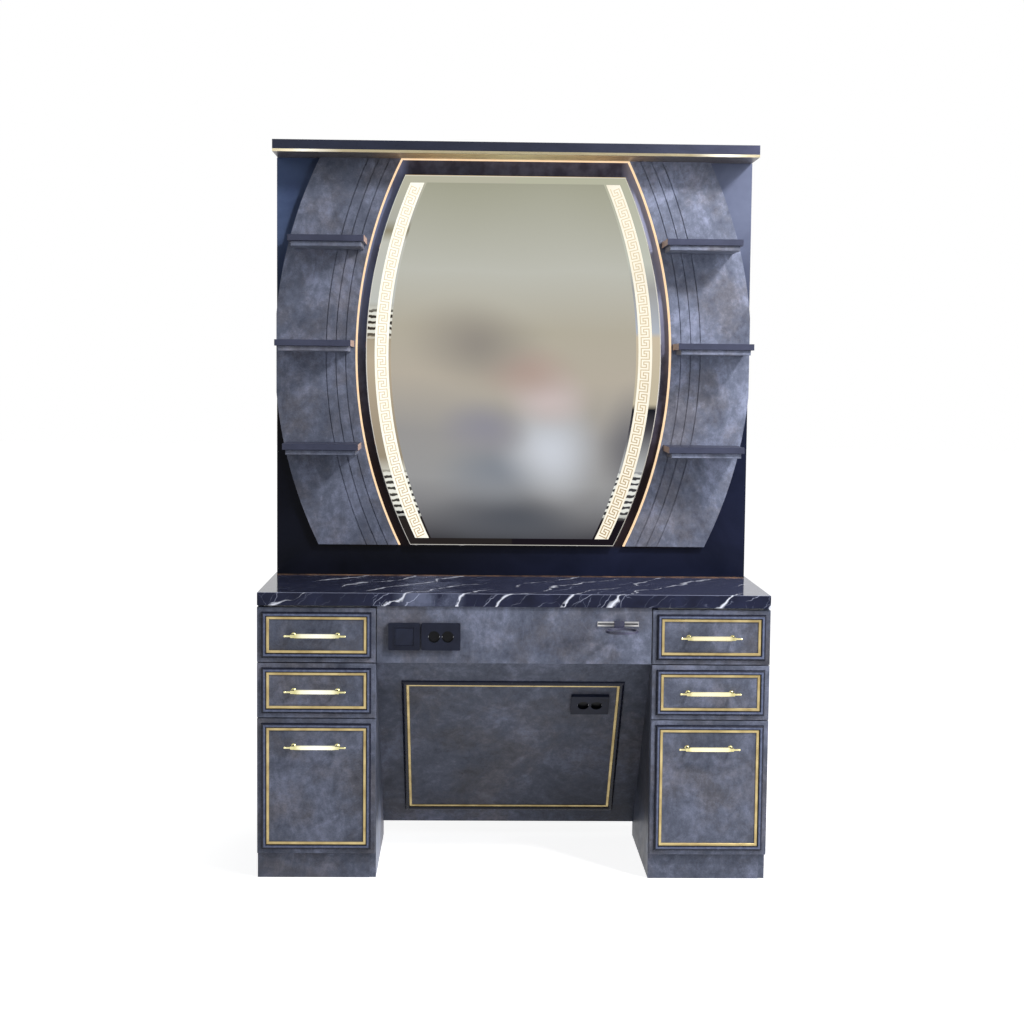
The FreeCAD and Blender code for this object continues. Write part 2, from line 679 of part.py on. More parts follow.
SWITCH_X = f"(switch_offset - {KNEE})"
SOCKET_X = f"({SWITCH_X} + switch_width / 2 + plate_gap + socket_width / 2)"
OUTLET_Z = f"({CARCASS_TOP} - outlet_drop)"
LOW_SOCKET_X = f"({KNEE} - low_socket_margin)"


def apron():
    board = block("apron_board",
                  ("knee_width - 2 * apron_end_gap", "front_thickness", f"{CARCASS_TOP} - {UPPER}"),
                  (f"apron_end_gap - {KNEE}", FACE, UPPER))
    tools = []
    for name, x, width in (("switch_recess", SWITCH_X, "switch_width"),
                           ("socket_recess", SOCKET_X, "socket_width")):
        tool, left, low = outlet_recess(name, width)
        tools.append(place(tool, f"{x} + {left}", f"{FACE} - board_thickness",
                           f"{OUTLET_Z} + {low}"))
    node(cut("Apron", board, *tools), "apron")


def modesty_panel():
    """The slanted board: mitred to the apron above, level with the pedestals' backs below."""
    body = doc.addObject("PartDesign::Body", "ModestyBoard")
    rear_lift = f"modesty_thickness * {SLANT_LENGTH} / {SLANT_RUN}"
    rear_foot = f"modesty_gap - modesty_foot * {SLANT_RISE} / {SLANT_RUN} + {rear_lift}"
    corners = [
        (SLANT_TOP, UPPER), (SLANT_FOOT, "modesty_gap"), (CABINET_BACK, "modesty_gap"),
        (CABINET_BACK, rear_foot), (SLANT_TOP, f"{UPPER} + {rear_lift}"),
    ]
    section = outline(body, "YZ_Plane", "ModestySection", corners)
    pad(body, "ModestyPad", section, "knee_width")
    place(body, x=f"-{KNEE}")
    tool, left, low = outlet_recess("low_socket_recess", "socket_width")
    shifted = place(tool, left, "-2 * board_thickness", low)
    carrier = group("LowSocketRecess", [shifted])
    on_slant(carrier, LOW_SOCKET_X, "low_socket_drop")
    node(cut("Modesty", body, carrier), "modesty_panel")
    margin = "(modesty_side_margin - moulding_width)"
    width = f"knee_width - 2 * {margin}"
    tall = f"{SLANT_LENGTH} - modesty_top_margin - modesty_foot_margin + 2 * moulding_width"
    drop = f"({SLANT_LENGTH} + modesty_top_margin - modesty_foot_margin) / 2"
    node(on_slant(moulding("ModestyFrame", width, tall), "0", drop), "modesty_moulding")
    node(on_slant(trim("ModestyStrip", width, tall), "0", drop), "modesty_trim")


# ---------------------------------------------------------------- outlets and holder

def rounded_plate(name, width, depth, height):
    """A plate centred in X and Z with its back on the origin plane, corners rounded."""
    body = doc.addObject("PartDesign::Body", name)
    corners = [(f"-({width}) / 2", f"-({height}) / 2"), (f"({width}) / 2", f"-({height}) / 2"),
               (f"({width}) / 2", f"({height}) / 2"), (f"-({width}) / 2", f"({height}) / 2")]
    plate = pad(body, f"{name}_pad", outline(body, "XZ_Plane", f"{name}_outline", corners), depth)
    doc.recompute()
    upright = [
        f"Edge{index}" for index, edge in enumerate(plate.Shape.Edges, start=1)
        if near(edge.Vertexes[0].X, edge.Vertexes[-1].X)
        and near(edge.Vertexes[0].Z, edge.Vertexes[-1].Z)
    ]
    rounding = body.newObject("PartDesign::Fillet", f"{name}_corners")
    rounding.Base = (plate, upright)
    bind(rounding, Radius="outlet_corner")
    return body


def insert_block(name, width):
    wide = f"(({width}) - 2 * outlet_block_margin)"
    high = "(outlet_height - 2 * outlet_block_margin)"
    return block(name, (wide, "outlet_block", high), (f"-1 * {wide} / 2", "0", f"-1 * {high} / 2"))


def double_socket(name):
    """Plate, insert and two round wells, with its origin on the board's face."""
    plate = rounded_plate(f"{name}_plate", "socket_width", "socket_depth", "outlet_height")
    solid = fuse(f"{name}_solid", plate, insert_block(f"{name}_insert", "socket_width"))
    wells = [
        rod(f"{name}_well_{index}", "well_radius", "well_depth",
            (f"{sign} * socket_pitch / 2", "-1 * socket_depth", "0"), Vector(0, 1, 0))
        for index, sign in enumerate((-1, 1))
    ]
    return cut(name, solid, *wells)


def sockets():
    upper = place(double_socket("apron_socket"), SOCKET_X, FACE, OUTLET_Z)
    lower = on_slant(double_socket("low_socket"), LOW_SOCKET_X, "low_socket_drop")
    node(group("Sockets", [upper, lower]), "socket_outlets")


ROCKER_Y = f"({FACE} - switch_depth + rocker_sink)"


def switch():
    plate = rounded_plate("switch_surround", "switch_width", "switch_depth", "outlet_height")
    solid = fuse("switch_solid", plate, insert_block("switch_insert", "switch_width"))
    window = ("rocker_width + 2 * rocker_gap", "rocker_pocket", "rocker_height + 2 * rocker_gap")
    opening = block("switch_window", window,
                    (f"-1 * ({window[0]}) / 2", "-1 * switch_depth", f"-1 * ({window[2]}) / 2"))
    span = "(rocker_width + 2 * rocker_gap + 2 * pivot_length)"
    bearing = rod("switch_bearing", "pivot_radius + pivot_play", span,
                  (f"-1 * {span} / 2", "rocker_sink - switch_depth", "0"), Vector(1, 0, 0))
    node(place(cut("SwitchPlate", solid, opening, bearing), SWITCH_X, FACE, OUTLET_Z),
         "switch_plate")
    key = block("rocker_key", ("rocker_width", "rocker_thickness", "rocker_height"),
                ("-1 * rocker_width / 2", "-1 * rocker_thickness / 2", "-1 * rocker_height / 2"))
    pin_span = "(rocker_width + 2 * pivot_length)"
    pin = rod("rocker_pin", "pivot_radius", pin_span, (f"-1 * {pin_span} / 2", "0", "0"),
              Vector(1, 0, 0))
    rocker = tilt(fuse("Rocker", key, pin), "rocker_tilt")
    node(place(rocker, SWITCH_X, ROCKER_Y, OUTLET_Z), "switch_rocker")


HOLDER_X = f"({KNEE} - holder_offset)"
HOLDER_Z = f"({CARCASS_TOP} - holder_drop)"


def holder_rail(name):
    """The rail as a bare bar, used for the part and for the seat in its clamp."""
    return block(name, ("holder_rail_length", "holder_rail_depth", "holder_rail_height"),
                 (f"{HOLDER_X} - holder_rail_length / 2", f"{FACE} - holder_rail_depth",
                  f"{HOLDER_Z} - holder_rail_height / 2"))


def band_ring(name):
    """The flat band that holds a dryer's nozzle, centred on the origin."""
    body = doc.addObject("PartDesign::Body", name)
    inside, outside = "ring_radius - ring_thickness / 2", "ring_radius + ring_thickness / 2"
    low, high = "-1 * ring_height / 2", "ring_height / 2"
    corners = [(inside, low), (outside, low), (outside, high), (inside, high)]
    band = body.newObject("PartDesign::Revolution", f"{name}_band")
    band.Profile = outline(body, "XZ_Plane", f"{name}_section", corners)
    band.ReferenceAxis = (origin_plane(body, "Z_Axis"), [""])
    band.Angle = 360
    return body


def dryer_holder():
    groove = block("rail_groove",
                   ("holder_rail_length", "rail_groove_depth", "rail_groove_height"),
                   (f"{HOLDER_X} - holder_rail_length / 2", f"{FACE} - holder_rail_depth",
                    f"{HOLDER_Z} - rail_groove_height / 2"))
    node(cut("HolderRail", holder_rail("rail_bar"), groove), "dryer_holder_rail")
    clamp_x = f"({HOLDER_X} + clamp_offset)"
    ring_x = f"({HOLDER_X} + ring_offset)"
    ring_z = f"({HOLDER_Z} - ring_drop)"
    ring_y = f"({FRONT} - ring_reach + ring_radius + ring_thickness / 2)"
    high = "(holder_rail_height + 2 * clamp_wall)"
    clamp = block("clamp_block", ("clamp_width", "clamp_depth", high),
                  (f"{clamp_x} - clamp_width / 2", f"{FACE} - clamp_depth",
                   f"{HOLDER_Z} - {high} / 2"))
    foot = block("clamp_foot", ("clamp_width / 2", "clamp_depth", "ring_drop + ring_height / 2"),
                 (f"{ring_x} - clamp_width / 4", f"{FACE} - clamp_depth",
                  f"{ring_z} - ring_height / 2"))
    arm_y = f"({ring_y} + ring_radius)"
    arm = block("ring_arm", ("ring_height", f"{FACE} - clamp_depth / 2 - {arm_y}", "ring_height"),
                (f"{ring_x} - ring_height / 2", arm_y, f"{ring_z} - ring_height / 2"))
    ring = place(band_ring("HolderRing"), ring_x, ring_y, ring_z)
    solid = fuse("holder_solid", clamp, foot, arm, ring)
    node(cut("DryerRing", solid, holder_rail("rail_seat")), "dryer_ring")


# ---------------------------------------------------------------- hutch

def hutch():
    half = f"{HUTCH_WIDTH} / 2"
    core = "(hutch_thickness - board_thickness - back_thickness)"
    face = block("hutch_face", (HUTCH_WIDTH, "board_thickness", "hutch_height"),
                 (f"-1 * {half}", HUTCH, COUNTER))
    node(face, "hutch_face_panel")
    core_y = f"{HUTCH} + board_thickness"
    frame = []
    posts = {"left_post": f"-1 * {half}", "right_post": f"{half} - board_thickness",
             "left_stud": f"-1 * mirror_width / 4 - board_thickness / 2",
             "right_stud": f"mirror_width / 4 - board_thickness / 2"}
    for name, x in posts.items():
        inset = "0" if name.endswith("post") else "board_thickness"
        frame.append(block(name, ("board_thickness", core, f"hutch_height - 2 * {inset}"),
                           (x, core_y, f"{COUNTER} + {inset}")))
    for name, z in (("lower_rail", COUNTER), ("upper_rail", f"{SOFFIT} - board_thickness")):
        frame.append(block(name, (f"{HUTCH_WIDTH} - 2 * board_thickness", core,
                                  "board_thickness"),
                           (f"-1 * {half} + board_thickness", core_y, z)))
    node(group("HutchFrame", frame), "hutch_frame")
    back = block("hutch_back", (HUTCH_WIDTH, "back_thickness", "hutch_height"),
                 (f"-1 * {half}", f"{BACK} - back_thickness", COUNTER))
    node(back, "hutch_back_panel")


def cornice():
    length = f"({HUTCH_WIDTH} - 2 * cornice_inset)"
    left = f"-1 * {length} / 2"
    front = f"{BACK} - cornice_depth"
    boards = [
        block(name, (length, "cornice_depth", "cornice_board"), (left, front, z))
        for name, z in (("soffit_board", SOFFIT), ("cap_board", f"{SOFFIT} + cornice_board"))
    ]
    strip = (length, "cornice_strip_depth", "cornice_strip_height")
    rebate = block("strip_rebate", strip, (left, front, SOFFIT))
    boards[0] = cut("soffit_rebated", boards[0], rebate)
    node(group("Cornice", boards), "cornice_boards")
    node(block("cornice_strip", strip, (left, front, SOFFIT)), "cornice_gold_strip")


def arc_x(radius, apex, z):
    """X of an arc that is widest, at apex, about half way up the side panels."""
    return f"({apex} - ({radius}) + sqrt(({radius}) ^ 2 - (({z}) - {ARC_LEVEL}) ^ 2))"


def arc_band(body, name, sign, outer, inner, low, high):
    """A strip between two arcs, each a pair of radius and apex, cut level at both ends."""
    corners = [
        (f"{sign} * {arc_x(*inner, low)}", low), (f"{sign} * {arc_x(*outer, low)}", low),
        (f"{sign} * {arc_x(*outer, high)}", high), (f"{sign} * {arc_x(*inner, high)}", high),
    ]
    return outline(body, "XZ_Plane", name, corners, {1: (outer[0], sign), 3: (inner[0], sign)})


def decor_panel(side, sign):
    """A side panel between the light arc and an outer arc that the hutch's edge cuts off."""
    body = doc.addObject("PartDesign::Body", f"{side}_decor")
    edge = f"({HUTCH_WIDTH} / 2)"
    apex = f"({edge} + decor_overshoot)"
    clip = "sqrt(light_radius ^ 2 - (light_radius - decor_overshoot) ^ 2)"
    low_clip = f"{ARC_LEVEL} - {clip}"
    high_clip = f"{ARC_LEVEL} + {clip}"
    corners = [
        (f"{sign} * {arc_x('light_radius', LIGHT_APEX, DECOR_FOOT)}", DECOR_FOOT),
        (f"{sign} * {arc_x('light_radius', apex, DECOR_FOOT)}", DECOR_FOOT),
        (f"{sign} * {edge}", low_clip), (f"{sign} * {edge}", high_clip),
        (f"{sign} * {arc_x('light_radius', apex, SOFFIT)}", SOFFIT),
        (f"{sign} * {arc_x('light_radius', LIGHT_APEX, SOFFIT)}", SOFFIT),
    ]
    arcs = {1: ("light_radius", sign), 3: ("light_radius", sign), 5: ("light_radius", sign)}
    sketch = outline(body, "XZ_Plane", f"{side}_decor_outline", corners, arcs)
    pad(body, f"{side}_decor_pad", sketch, "decor_thickness")
    doc.recompute()
    for count in (1, 2, 3):
        inner = (f"(light_radius + {count} * groove_pitch - groove_width / 2)",
                 f"({LIGHT_APEX} + {count} * groove_pitch - groove_width / 2)")
        outer = (f"(light_radius + {count} * groove_pitch + groove_width / 2)",
                 f"({LIGHT_APEX} + {count} * groove_pitch + groove_width / 2)")
        line = arc_band(body, f"{side}_groove_{count}_outline", sign, outer, inner, DECOR_FOOT,
                        SOFFIT)
        line.setExpression("AttachmentOffset.Base.z", formula("decor_thickness"))
        pocket(body, f"{side}_groove_{count}", line, "groove_depth")
    node(place(body, y=HUTCH), f"{side}_decor_panel")


def light_profiles():
    """The light line: an arc down each side panel and a straight run under the soffit."""
    members = []
    inner = ("(light_radius - light_width)", f"({LIGHT_APEX} - light_width)")
    for side, sign in SIDES:
        body = doc.addObject("PartDesign::Body", f"{side}_light")
        band = arc_band(body, f"{side}_light_outline", sign, ("light_radius", LIGHT_APEX), inner,
                        DECOR_FOOT, SOFFIT)
        pad(body, f"{side}_light_pad", band, "decor_thickness")
        members.append(place(body, y=HUTCH))
    half = arc_x(*inner, SOFFIT)
    members.append(block("top_light", (f"2 * {half}", "decor_thickness", "top_light_height"),
                         (f"-1 * {half}", DECOR, f"{SOFFIT} - top_light_height")))
    node(group("LightProfiles", members), "led_light_profiles")


MIRROR_TOP = f"({SOFFIT} - mirror_top_gap)"


def barrel(body, name, inset):
    """The mirror's outline, or one inside it: two arcs between level ends."""
    radius = f"(light_radius - mirror_reveal - ({inset}))"
    apex = f"(mirror_width / 2 - ({inset}))"
    low = f"({DECOR_FOOT} + ({inset}))"
    high = f"({MIRROR_TOP} - ({inset}))"
    corners = [(f"-1 * {arc_x(radius, apex, low)}", low), (arc_x(radius, apex, low), low),
               (arc_x(radius, apex, high), high), (f"-1 * {arc_x(radius, apex, high)}", high)]
    return outline(body, "XZ_Plane", name, corners, {1: (radius, 1), 3: (radius, -1)})


def mirror():
    carrier = doc.addObject("PartDesign::Body", "MirrorCarrier")
    pad(carrier, "CarrierPad", barrel(carrier, "CarrierOutline", "carrier_inset"),
        "mirror_carrier")
    doc.recompute()
    for side, sign in SIDES:
        outer = ("(light_radius - mirror_reveal)", "(mirror_width / 2 - channel_inset)")
        inner = (outer[0], f"({outer[1]} - channel_width)")
        line = arc_band(carrier, f"{side}_channel_outline", sign, outer, inner,
                        f"({DECOR_FOOT} + 2 * carrier_inset)",
                        f"({MIRROR_TOP} - 2 * carrier_inset)")
        line.setExpression("AttachmentOffset.Base.z", formula("mirror_carrier"))
        pocket(carrier, f"{side}_channel", line, "channel_depth")
    node(place(carrier, y=HUTCH), "mirror_carrier_board")
    glass = doc.addObject("PartDesign::Body", "MirrorGlass")
    sheet_pad = pad(glass, "GlassPad", barrel(glass, "GlassOutline", "0"), "mirror_glass")
    front = -number("mirror_glass")
    soften(glass, "Chamfer", "PolishedEdge", sheet_pad, "mirror_bevel",
           lambda p: near(p.y, front))
    node(place(glass, y=f"{HUTCH} - mirror_carrier"), "mirror_glass_panel")


def shelf_board(name, width, depth, height, corner):
    """A board whose front and end edges are eased, from its low rear-left corner."""
    body = doc.addObject("PartDesign::Body", name)
    corners = [("0", f"-1 * ({depth})"), (width, f"-1 * ({depth})"), (width, "0"), ("0", "0")]
    board = pad(body, f"{name}_pad", outline(body, "XY_Plane", f"{name}_outline", corners),
                height)
    deep = -number(depth)
    soften(body, "Chamfer", f"{name}_edge", board, "shelf_edge", lambda p: near(p.y, deep))
    return place(body, *corner)


def shelves():
    tops = []
    battens = []
    offsets = ("upper_shelf_offset", "middle_shelf_offset", "lower_shelf_offset")
    for side, sign in SIDES:
        for index, offset in enumerate(offsets):
            level = f"({SOFFIT} - shelf_top_gap - {index} * shelf_pitch)"
            name = f"{side}_shelf_{index}"
            left = f"{sign} * ({LIGHT_APEX} + {offset}) - shelf_width / 2"
            tops.append(shelf_board(f"{name}_top", "shelf_width", "shelf_depth", "shelf_board",
                                    (left, DECOR, f"{level} - shelf_board")))
            battens.append(shelf_board(
                f"{name}_batten", "shelf_width - 2 * shelf_batten_inset",
                "shelf_depth - shelf_batten_inset", "shelf_batten",
                (f"{left} + shelf_batten_inset", DECOR,
                 f"{level} - shelf_board - shelf_batten")))
    node(group("ShelfTops", tops), "shelf_tops")
    node(group("ShelfBattens", battens), "shelf_battens")


# ---------------------------------------------------------------- build and export

def build():
    counter_top()
    side_boards()
    carcass()
    runners()
    drawers()
    apron()
    modesty_panel()
    sockets()
    switch()
    dryer_holder()
    hutch()
    cornice()
    for side, sign in SIDES:
        decor_panel(side, sign)
    light_profiles()
    mirror()
    shelves()
    doc.recompute()


def check():
    """Stop if any object failed or any sub-part has no sound solid."""
    for thing in doc.Objects:
        assert not {"Invalid", "Error"} & set(thing.State), f"{thing.Label}: {thing.State}"
    for part in nodes:
        assert not part.Shape.isNull(), f"{part.Label} is empty"
        assert part.Shape.isValid(), f"{part.Label} is not valid"
        assert part.Shape.Solids, f"{part.Label} has no solid"
    labels = [part.Label for part in nodes]
    assert len(labels) == len(set(labels)), "two sub-parts share a name"


def export():
    os.makedirs("parts", exist_ok=True)
    for part in nodes:
        part.Shape.exportStep(f"parts/{part.Label}.step")
        box = part.Shape.BoundBox
        print(f"{part.Label}: {len(part.Shape.Solids)} solid(s), "
              f"{box.XLength:.1f} x {box.YLength:.1f} x {box.ZLength:.1f}")


build()
check()
export()
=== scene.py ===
"""Salon station: finishes, small fittings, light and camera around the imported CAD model.

Everything is in metres in the CAD frame: +X to the right, +Y to the back and +Z up.
"""
import math

import bmesh
import bpy
from mathutils import Matrix, Vector


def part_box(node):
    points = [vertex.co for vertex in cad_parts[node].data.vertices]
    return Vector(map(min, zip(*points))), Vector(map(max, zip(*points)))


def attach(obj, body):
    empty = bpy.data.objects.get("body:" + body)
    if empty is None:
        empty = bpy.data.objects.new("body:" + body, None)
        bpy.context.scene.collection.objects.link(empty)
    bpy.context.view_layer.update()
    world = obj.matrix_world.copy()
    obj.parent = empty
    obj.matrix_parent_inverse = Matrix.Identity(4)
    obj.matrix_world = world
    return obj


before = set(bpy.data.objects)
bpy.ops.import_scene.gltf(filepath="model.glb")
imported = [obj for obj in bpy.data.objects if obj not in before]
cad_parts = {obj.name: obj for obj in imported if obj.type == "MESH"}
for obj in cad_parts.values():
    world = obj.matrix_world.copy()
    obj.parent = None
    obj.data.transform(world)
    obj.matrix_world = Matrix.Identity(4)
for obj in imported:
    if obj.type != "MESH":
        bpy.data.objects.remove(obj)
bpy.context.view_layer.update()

MM = 0.001
STATION = "station"
SIDES = (("left", -1), ("right", 1))
TIERS = ("upper", "middle", "lower")
DRAWERS = [f"{side}_{tier}_drawer" for side, _ in SIDES for tier in TIERS]


# ---------------------------------------------------------------- places read from the frame

MIRROR_LOW, MIRROR_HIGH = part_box("mirror_glass_panel")
GLASS_FACE = MIRROR_LOW.y
MIRROR_RADIUS = 1341 * MM  # arc of the mirror's edge
MIRROR_CENTRE = MIRROR_HIGH.x - MIRROR_RADIUS  # right-hand arc's centre, mirrored on the left
ARC_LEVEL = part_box("right_decor_panel")[0].z + 598.5 * MM  # where the arcs are widest
HUTCH_LOW, HUTCH_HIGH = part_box("hutch_face_panel")
CORNICE_LOW, CORNICE_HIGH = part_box("cornice_boards")
COUNTER_LOW, COUNTER_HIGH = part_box("counter_top")
MOULDING_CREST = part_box("right_upper_drawer_moulding")[0].y
HANDLE_LOW, HANDLE_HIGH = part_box("right_upper_drawer_handle")
SLANT_TOP_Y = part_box("left_upper_drawer_front")[1].y
SLANT_TOP_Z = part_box("apron")[0].z


# ---------------------------------------------------------------- sizes of the scene's pieces

# The lit bands are the mirror's edge arc again, moved inwards.
BAND_OUTER = 28 * MM
BAND_INNER = 71 * MM
BAND_MIDDLE = (BAND_OUTER + BAND_INNER) / 2
BAND_LOW = MIRROR_LOW.z + 23 * MM
BAND_HIGH = MIRROR_HIGH.z - 24 * MM
BAND_PROUD = 0.3 * MM
BAND_STEPS = 48
CLEAR_INNER = 78 * MM  # where the clear strip beside a band ends
KEY_PERIOD = 34 * MM
KEY_LINE = 3.0 * MM
KEY_PROUD = 0.3 * MM
# One period of the running key: quarter periods along the band, and across it.
KEY_TURNS = ((0, 3), (3, 3), (3, 1), (2, 1), (2, 2), (1, 2), (1, 0), (4, 0))
KEY_CELLS = 4
KEY_ROWS = 3

WELL_RADIUS = 17 * MM
WELL_DEPTH = 9 * MM
WELL_PITCH = 40 * MM
WELLS = (-WELL_PITCH / 2, WELL_PITCH / 2)  # the two wells of a double socket
PLATE_DEPTH = 11 * MM
WELL_FLOOR = WELL_DEPTH - PLATE_DEPTH
PIN_PITCH = 19 * MM
PIN_RADIUS = 2.4 * MM
PIN_DEPTH = 0.4 * MM
CLIP_WIDTH = 4 * MM
CLIP_HEIGHT = 6.5 * MM
CLIP_THICKNESS = 1.2 * MM
APRON_SOCKET = Vector((-215 * MM, -199 * MM, 723 * MM))
SLANT_SOCKET_X = 232 * MM
SLANT_DROP = 180 * MM  # down the slanted panel to its socket
SLANT_SIDES = (477, 596.5)  # mm, the slanted panel's run to the back and its fall
SLANT_ANGLE = math.atan2(*SLANT_SIDES)

SWITCH_MIDDLE = Vector((-322 * MM, -211 * MM, 723 * MM))
BEZEL_INSIDE = 27.5 * MM
BEZEL_WIDTH = 4 * MM
BEZEL_PROUD = 0.9 * MM
BEAD_SIZE = 2.2 * MM
RAIL_MIDDLE = Vector((303 * MM, -201.6 * MM, 763.5 * MM))
RAIL_INSERT = Vector((59 * MM, 0.6 * MM, 1.9 * MM))  # half sizes

HANDLE_PITCH = 128 * MM
HANDLE_LENGTH = 174 * MM
HANDLE_FOOT = -199 * MM
ROSETTE_RINGS = ((7.5 * MM, 2.6 * MM), (6.0 * MM, 5.0 * MM))  # radius and height of each step
TIP_RADIUS = 4.0 * MM
TIP_INSET = 4.5 * MM  # behind the front of the bar


# ---------------------------------------------------------------- camera

FOCAL_PIXELS = 1766.3
IMAGE_PIXELS = 1024
SENSOR = 36.0
EYE = Vector((-0.1416, -5.3179, 1.4952))
YAW, PITCH, ROLL = -0.0255, -0.0791, 0.0102


def add_camera():
    """The photo's camera: a level frame turned by yaw and pitch, then rolled."""
    data = bpy.data.cameras.new("camera")
    data.sensor_width = SENSOR
    data.lens = FOCAL_PIXELS / IMAGE_PIXELS * SENSOR
    data.clip_end = 100
    camera = bpy.data.objects.new("camera", data)
    bpy.context.scene.collection.objects.link(camera)
    level = math.cos(PITCH)
    ahead = Vector((-math.sin(YAW) * level, math.cos(YAW) * level, math.sin(PITCH)))
    right = Vector((math.cos(YAW), math.sin(YAW), 0))
    up = right.cross(ahead)
    rolled_right = right * math.cos(ROLL) + up * math.sin(ROLL)
    rolled_up = up * math.cos(ROLL) - right * math.sin(ROLL)
    turn = Matrix((rolled_right, rolled_up, -ahead)).transposed()
    camera.matrix_world = Matrix.Translation(EYE) @ turn.to_4x4()
    bpy.context.scene.camera = camera


# ---------------------------------------------------------------- node helper

OWN_STEP = {"X": 7.3, "Y": 3.1, "Z": 5.7}  # how far apart two objects' patterns can lie
TURNED = -0.5  # a normal's part along an axis, below which its face counts as turned that way
# Painted warm light on faces turned towards the mirror.
WARM_END = (0.38, 0.26, 0.22)


def srgb(red, green, blue):
    """A linear colour from the 0 to 255 values that a screen shows."""
    def linear(level):
        level /= 255
        return level / 12.92 if level <= 0.04045 else ((level + 0.055) / 1.055) ** 2.4
    return (linear(red), linear(green), linear(blue))


class Tree:
    """A short way to write the nodes of a new material or world.

    Each call adds nodes and returns an output. A value can be an output or a plain number.
    """

    def __init__(self, name, kind="materials"):
        self.owner = getattr(bpy.data, kind).new(name)
        self.owner.use_nodes = True
        self.nodes = self.owner.node_tree.nodes
        self.links = self.owner.node_tree.links
        self.shader = self.nodes.get("Principled BSDF")

    def add(self, kind, output=0, inputs=None, **settings):
        node = self.nodes.new(f"ShaderNode{kind}")
        for key, value in settings.items():
            setattr(node, key, value)
        for key, value in (inputs or {}).items():
            self.feed(node.inputs[key], value)
        return node.outputs[output]

    def feed(self, socket, value):
        if isinstance(value, bpy.types.NodeSocket):
            self.links.new(value, socket)
        else:
            socket.default_value = value

    def set(self, **values):
        """Set the shader's sockets, named with underscores for spaces."""
        for key, value in values.items():
            self.feed(self.shader.inputs[key.replace("_", " ")], value)

    def place(self, scale=(1, 1, 1), offset=(0, 0, 0), spread=False):
        """Object coordinates, scaled, and with spread moved by each object's own step."""
        here = self.add("TexCoord", "Object")
        if spread:
            own = self.add("ObjectInfo", "Random")
            step = self.add("CombineXYZ", inputs={
                axis: self.math("MULTIPLY", own, reach) for axis, reach in OWN_STEP.items()})
            here = self.add("VectorMath", operation="ADD", inputs={0: here, 1: step})
        return self.add("Mapping", inputs={"Vector": here, "Scale": scale, "Location": offset})

    def axes(self, vector):
        """A vector's three parts as separate outputs."""
        split = self.add("SeparateXYZ", inputs={"Vector": vector}).node
        return split.outputs["X"], split.outputs["Y"], split.outputs["Z"]

    def here(self):
        """Object coordinates: across, to the back and up."""
        return self.axes(self.add("TexCoord", "Object"))

    def math(self, operation, first, second=0.0, third=0.0, clamp=False):
        return self.add("Math", operation=operation, use_clamp=clamp,
                        inputs={0: first, 1: second, 2: third})

    def product(self, first, *others):
        for other in others:
            first = self.math("MULTIPLY", first, other)
        return first

    def apart(self, value, middle):
        """How far a value lies from a middle, to either side."""
        return self.math("ABSOLUTE", self.math("SUBTRACT", value, middle))

    def span(self, value, low, high, to_low=0.0, to_high=1.0, smooth=False):
        """A value between low and high, carried over to between two other numbers."""
        return self.add("MapRange", "Result", clamp=True,
                        interpolation_type="SMOOTHSTEP" if smooth else "LINEAR", inputs={
                            "Value": value, "From Min": low, "From Max": high,
                            "To Min": to_low, "To Max": to_high})

    def noise(self, place, scale, detail=4.0, roughness=0.5, distortion=0.0):
        return self.add("TexNoise", "Fac", inputs={
            "Vector": place, "Scale": scale, "Detail": detail, "Roughness": roughness,
            "Distortion": distortion})

    def ramp(self, value, stops):
        """Linear colours at positions from 0 to 1."""
        output = self.add("ValToRGB", inputs={"Fac": value})
        elements = output.node.color_ramp.elements
        while len(elements) < len(stops):
            elements.new(0.5)
        for element, (position, colour) in zip(elements, stops):
            element.position = position
            element.color = (*colour, 1)
        return output

    def graded(self, value, stops, lightness=1.0):
        """A ramp whose stops are given as screen colours, and lightened alike."""
        return self.ramp(value, [(position, tuple(lightness * part for part in srgb(*tone)))
                                 for position, tone in stops])

    def mix(self, factor, first, second, blend="MIX"):
        output = self.add("Mix", 2, data_type="RGBA", blend_type=blend)
        node = output.node
        self.feed(node.inputs[0], factor)
        for socket, value in ((node.inputs[6], first), (node.inputs[7], second)):
            if isinstance(value, tuple) and len(value) == 3:
                value = (*value, 1)
            self.feed(socket, value)
        return output

    def shade(self, colour, level):
        """A colour times a level, all three parts alike."""
        if isinstance(level, bpy.types.NodeSocket):
            grey = self.add("CombineColor", inputs={"Red": level, "Green": level, "Blue": level})
        else:
            grey = (level,) * 3
        return self.mix(1.0, colour, grey, "MULTIPLY")

    def warm_ends(self, colour):
        """Faces turned towards the mirror catch its warm light."""
        facing = self.axes(self.add("NewGeometry", "Normal"))[0]
        across, _, _ = self.here()
        inward = self.product(facing, self.math("SIGN", across))
        # Painted warm light.
        return self.mix(self.math("LESS_THAN", inward, TURNED), colour, WARM_END)

    def bump(self, height, strength, distance):
        normal = self.add("Bump", "Normal", inputs={
            "Height": height, "Strength": strength, "Distance": distance})
        self.set(Normal=normal)


# ---------------------------------------------------------------- boards and stone

STONE_TONES = ((0.38, (66, 70, 85)), (0.5, (94, 99, 116)), (0.62, (130, 135, 158)))
STONE_SCUFF = (138, 142, 160)
STONE_STAIN = (0.98, 0.87, 0.75)  # what a brown stain leaves of red, green and blue
KNEE_SHADE = (0.2, 0.42)  # the knee space's right end falls into shade between these


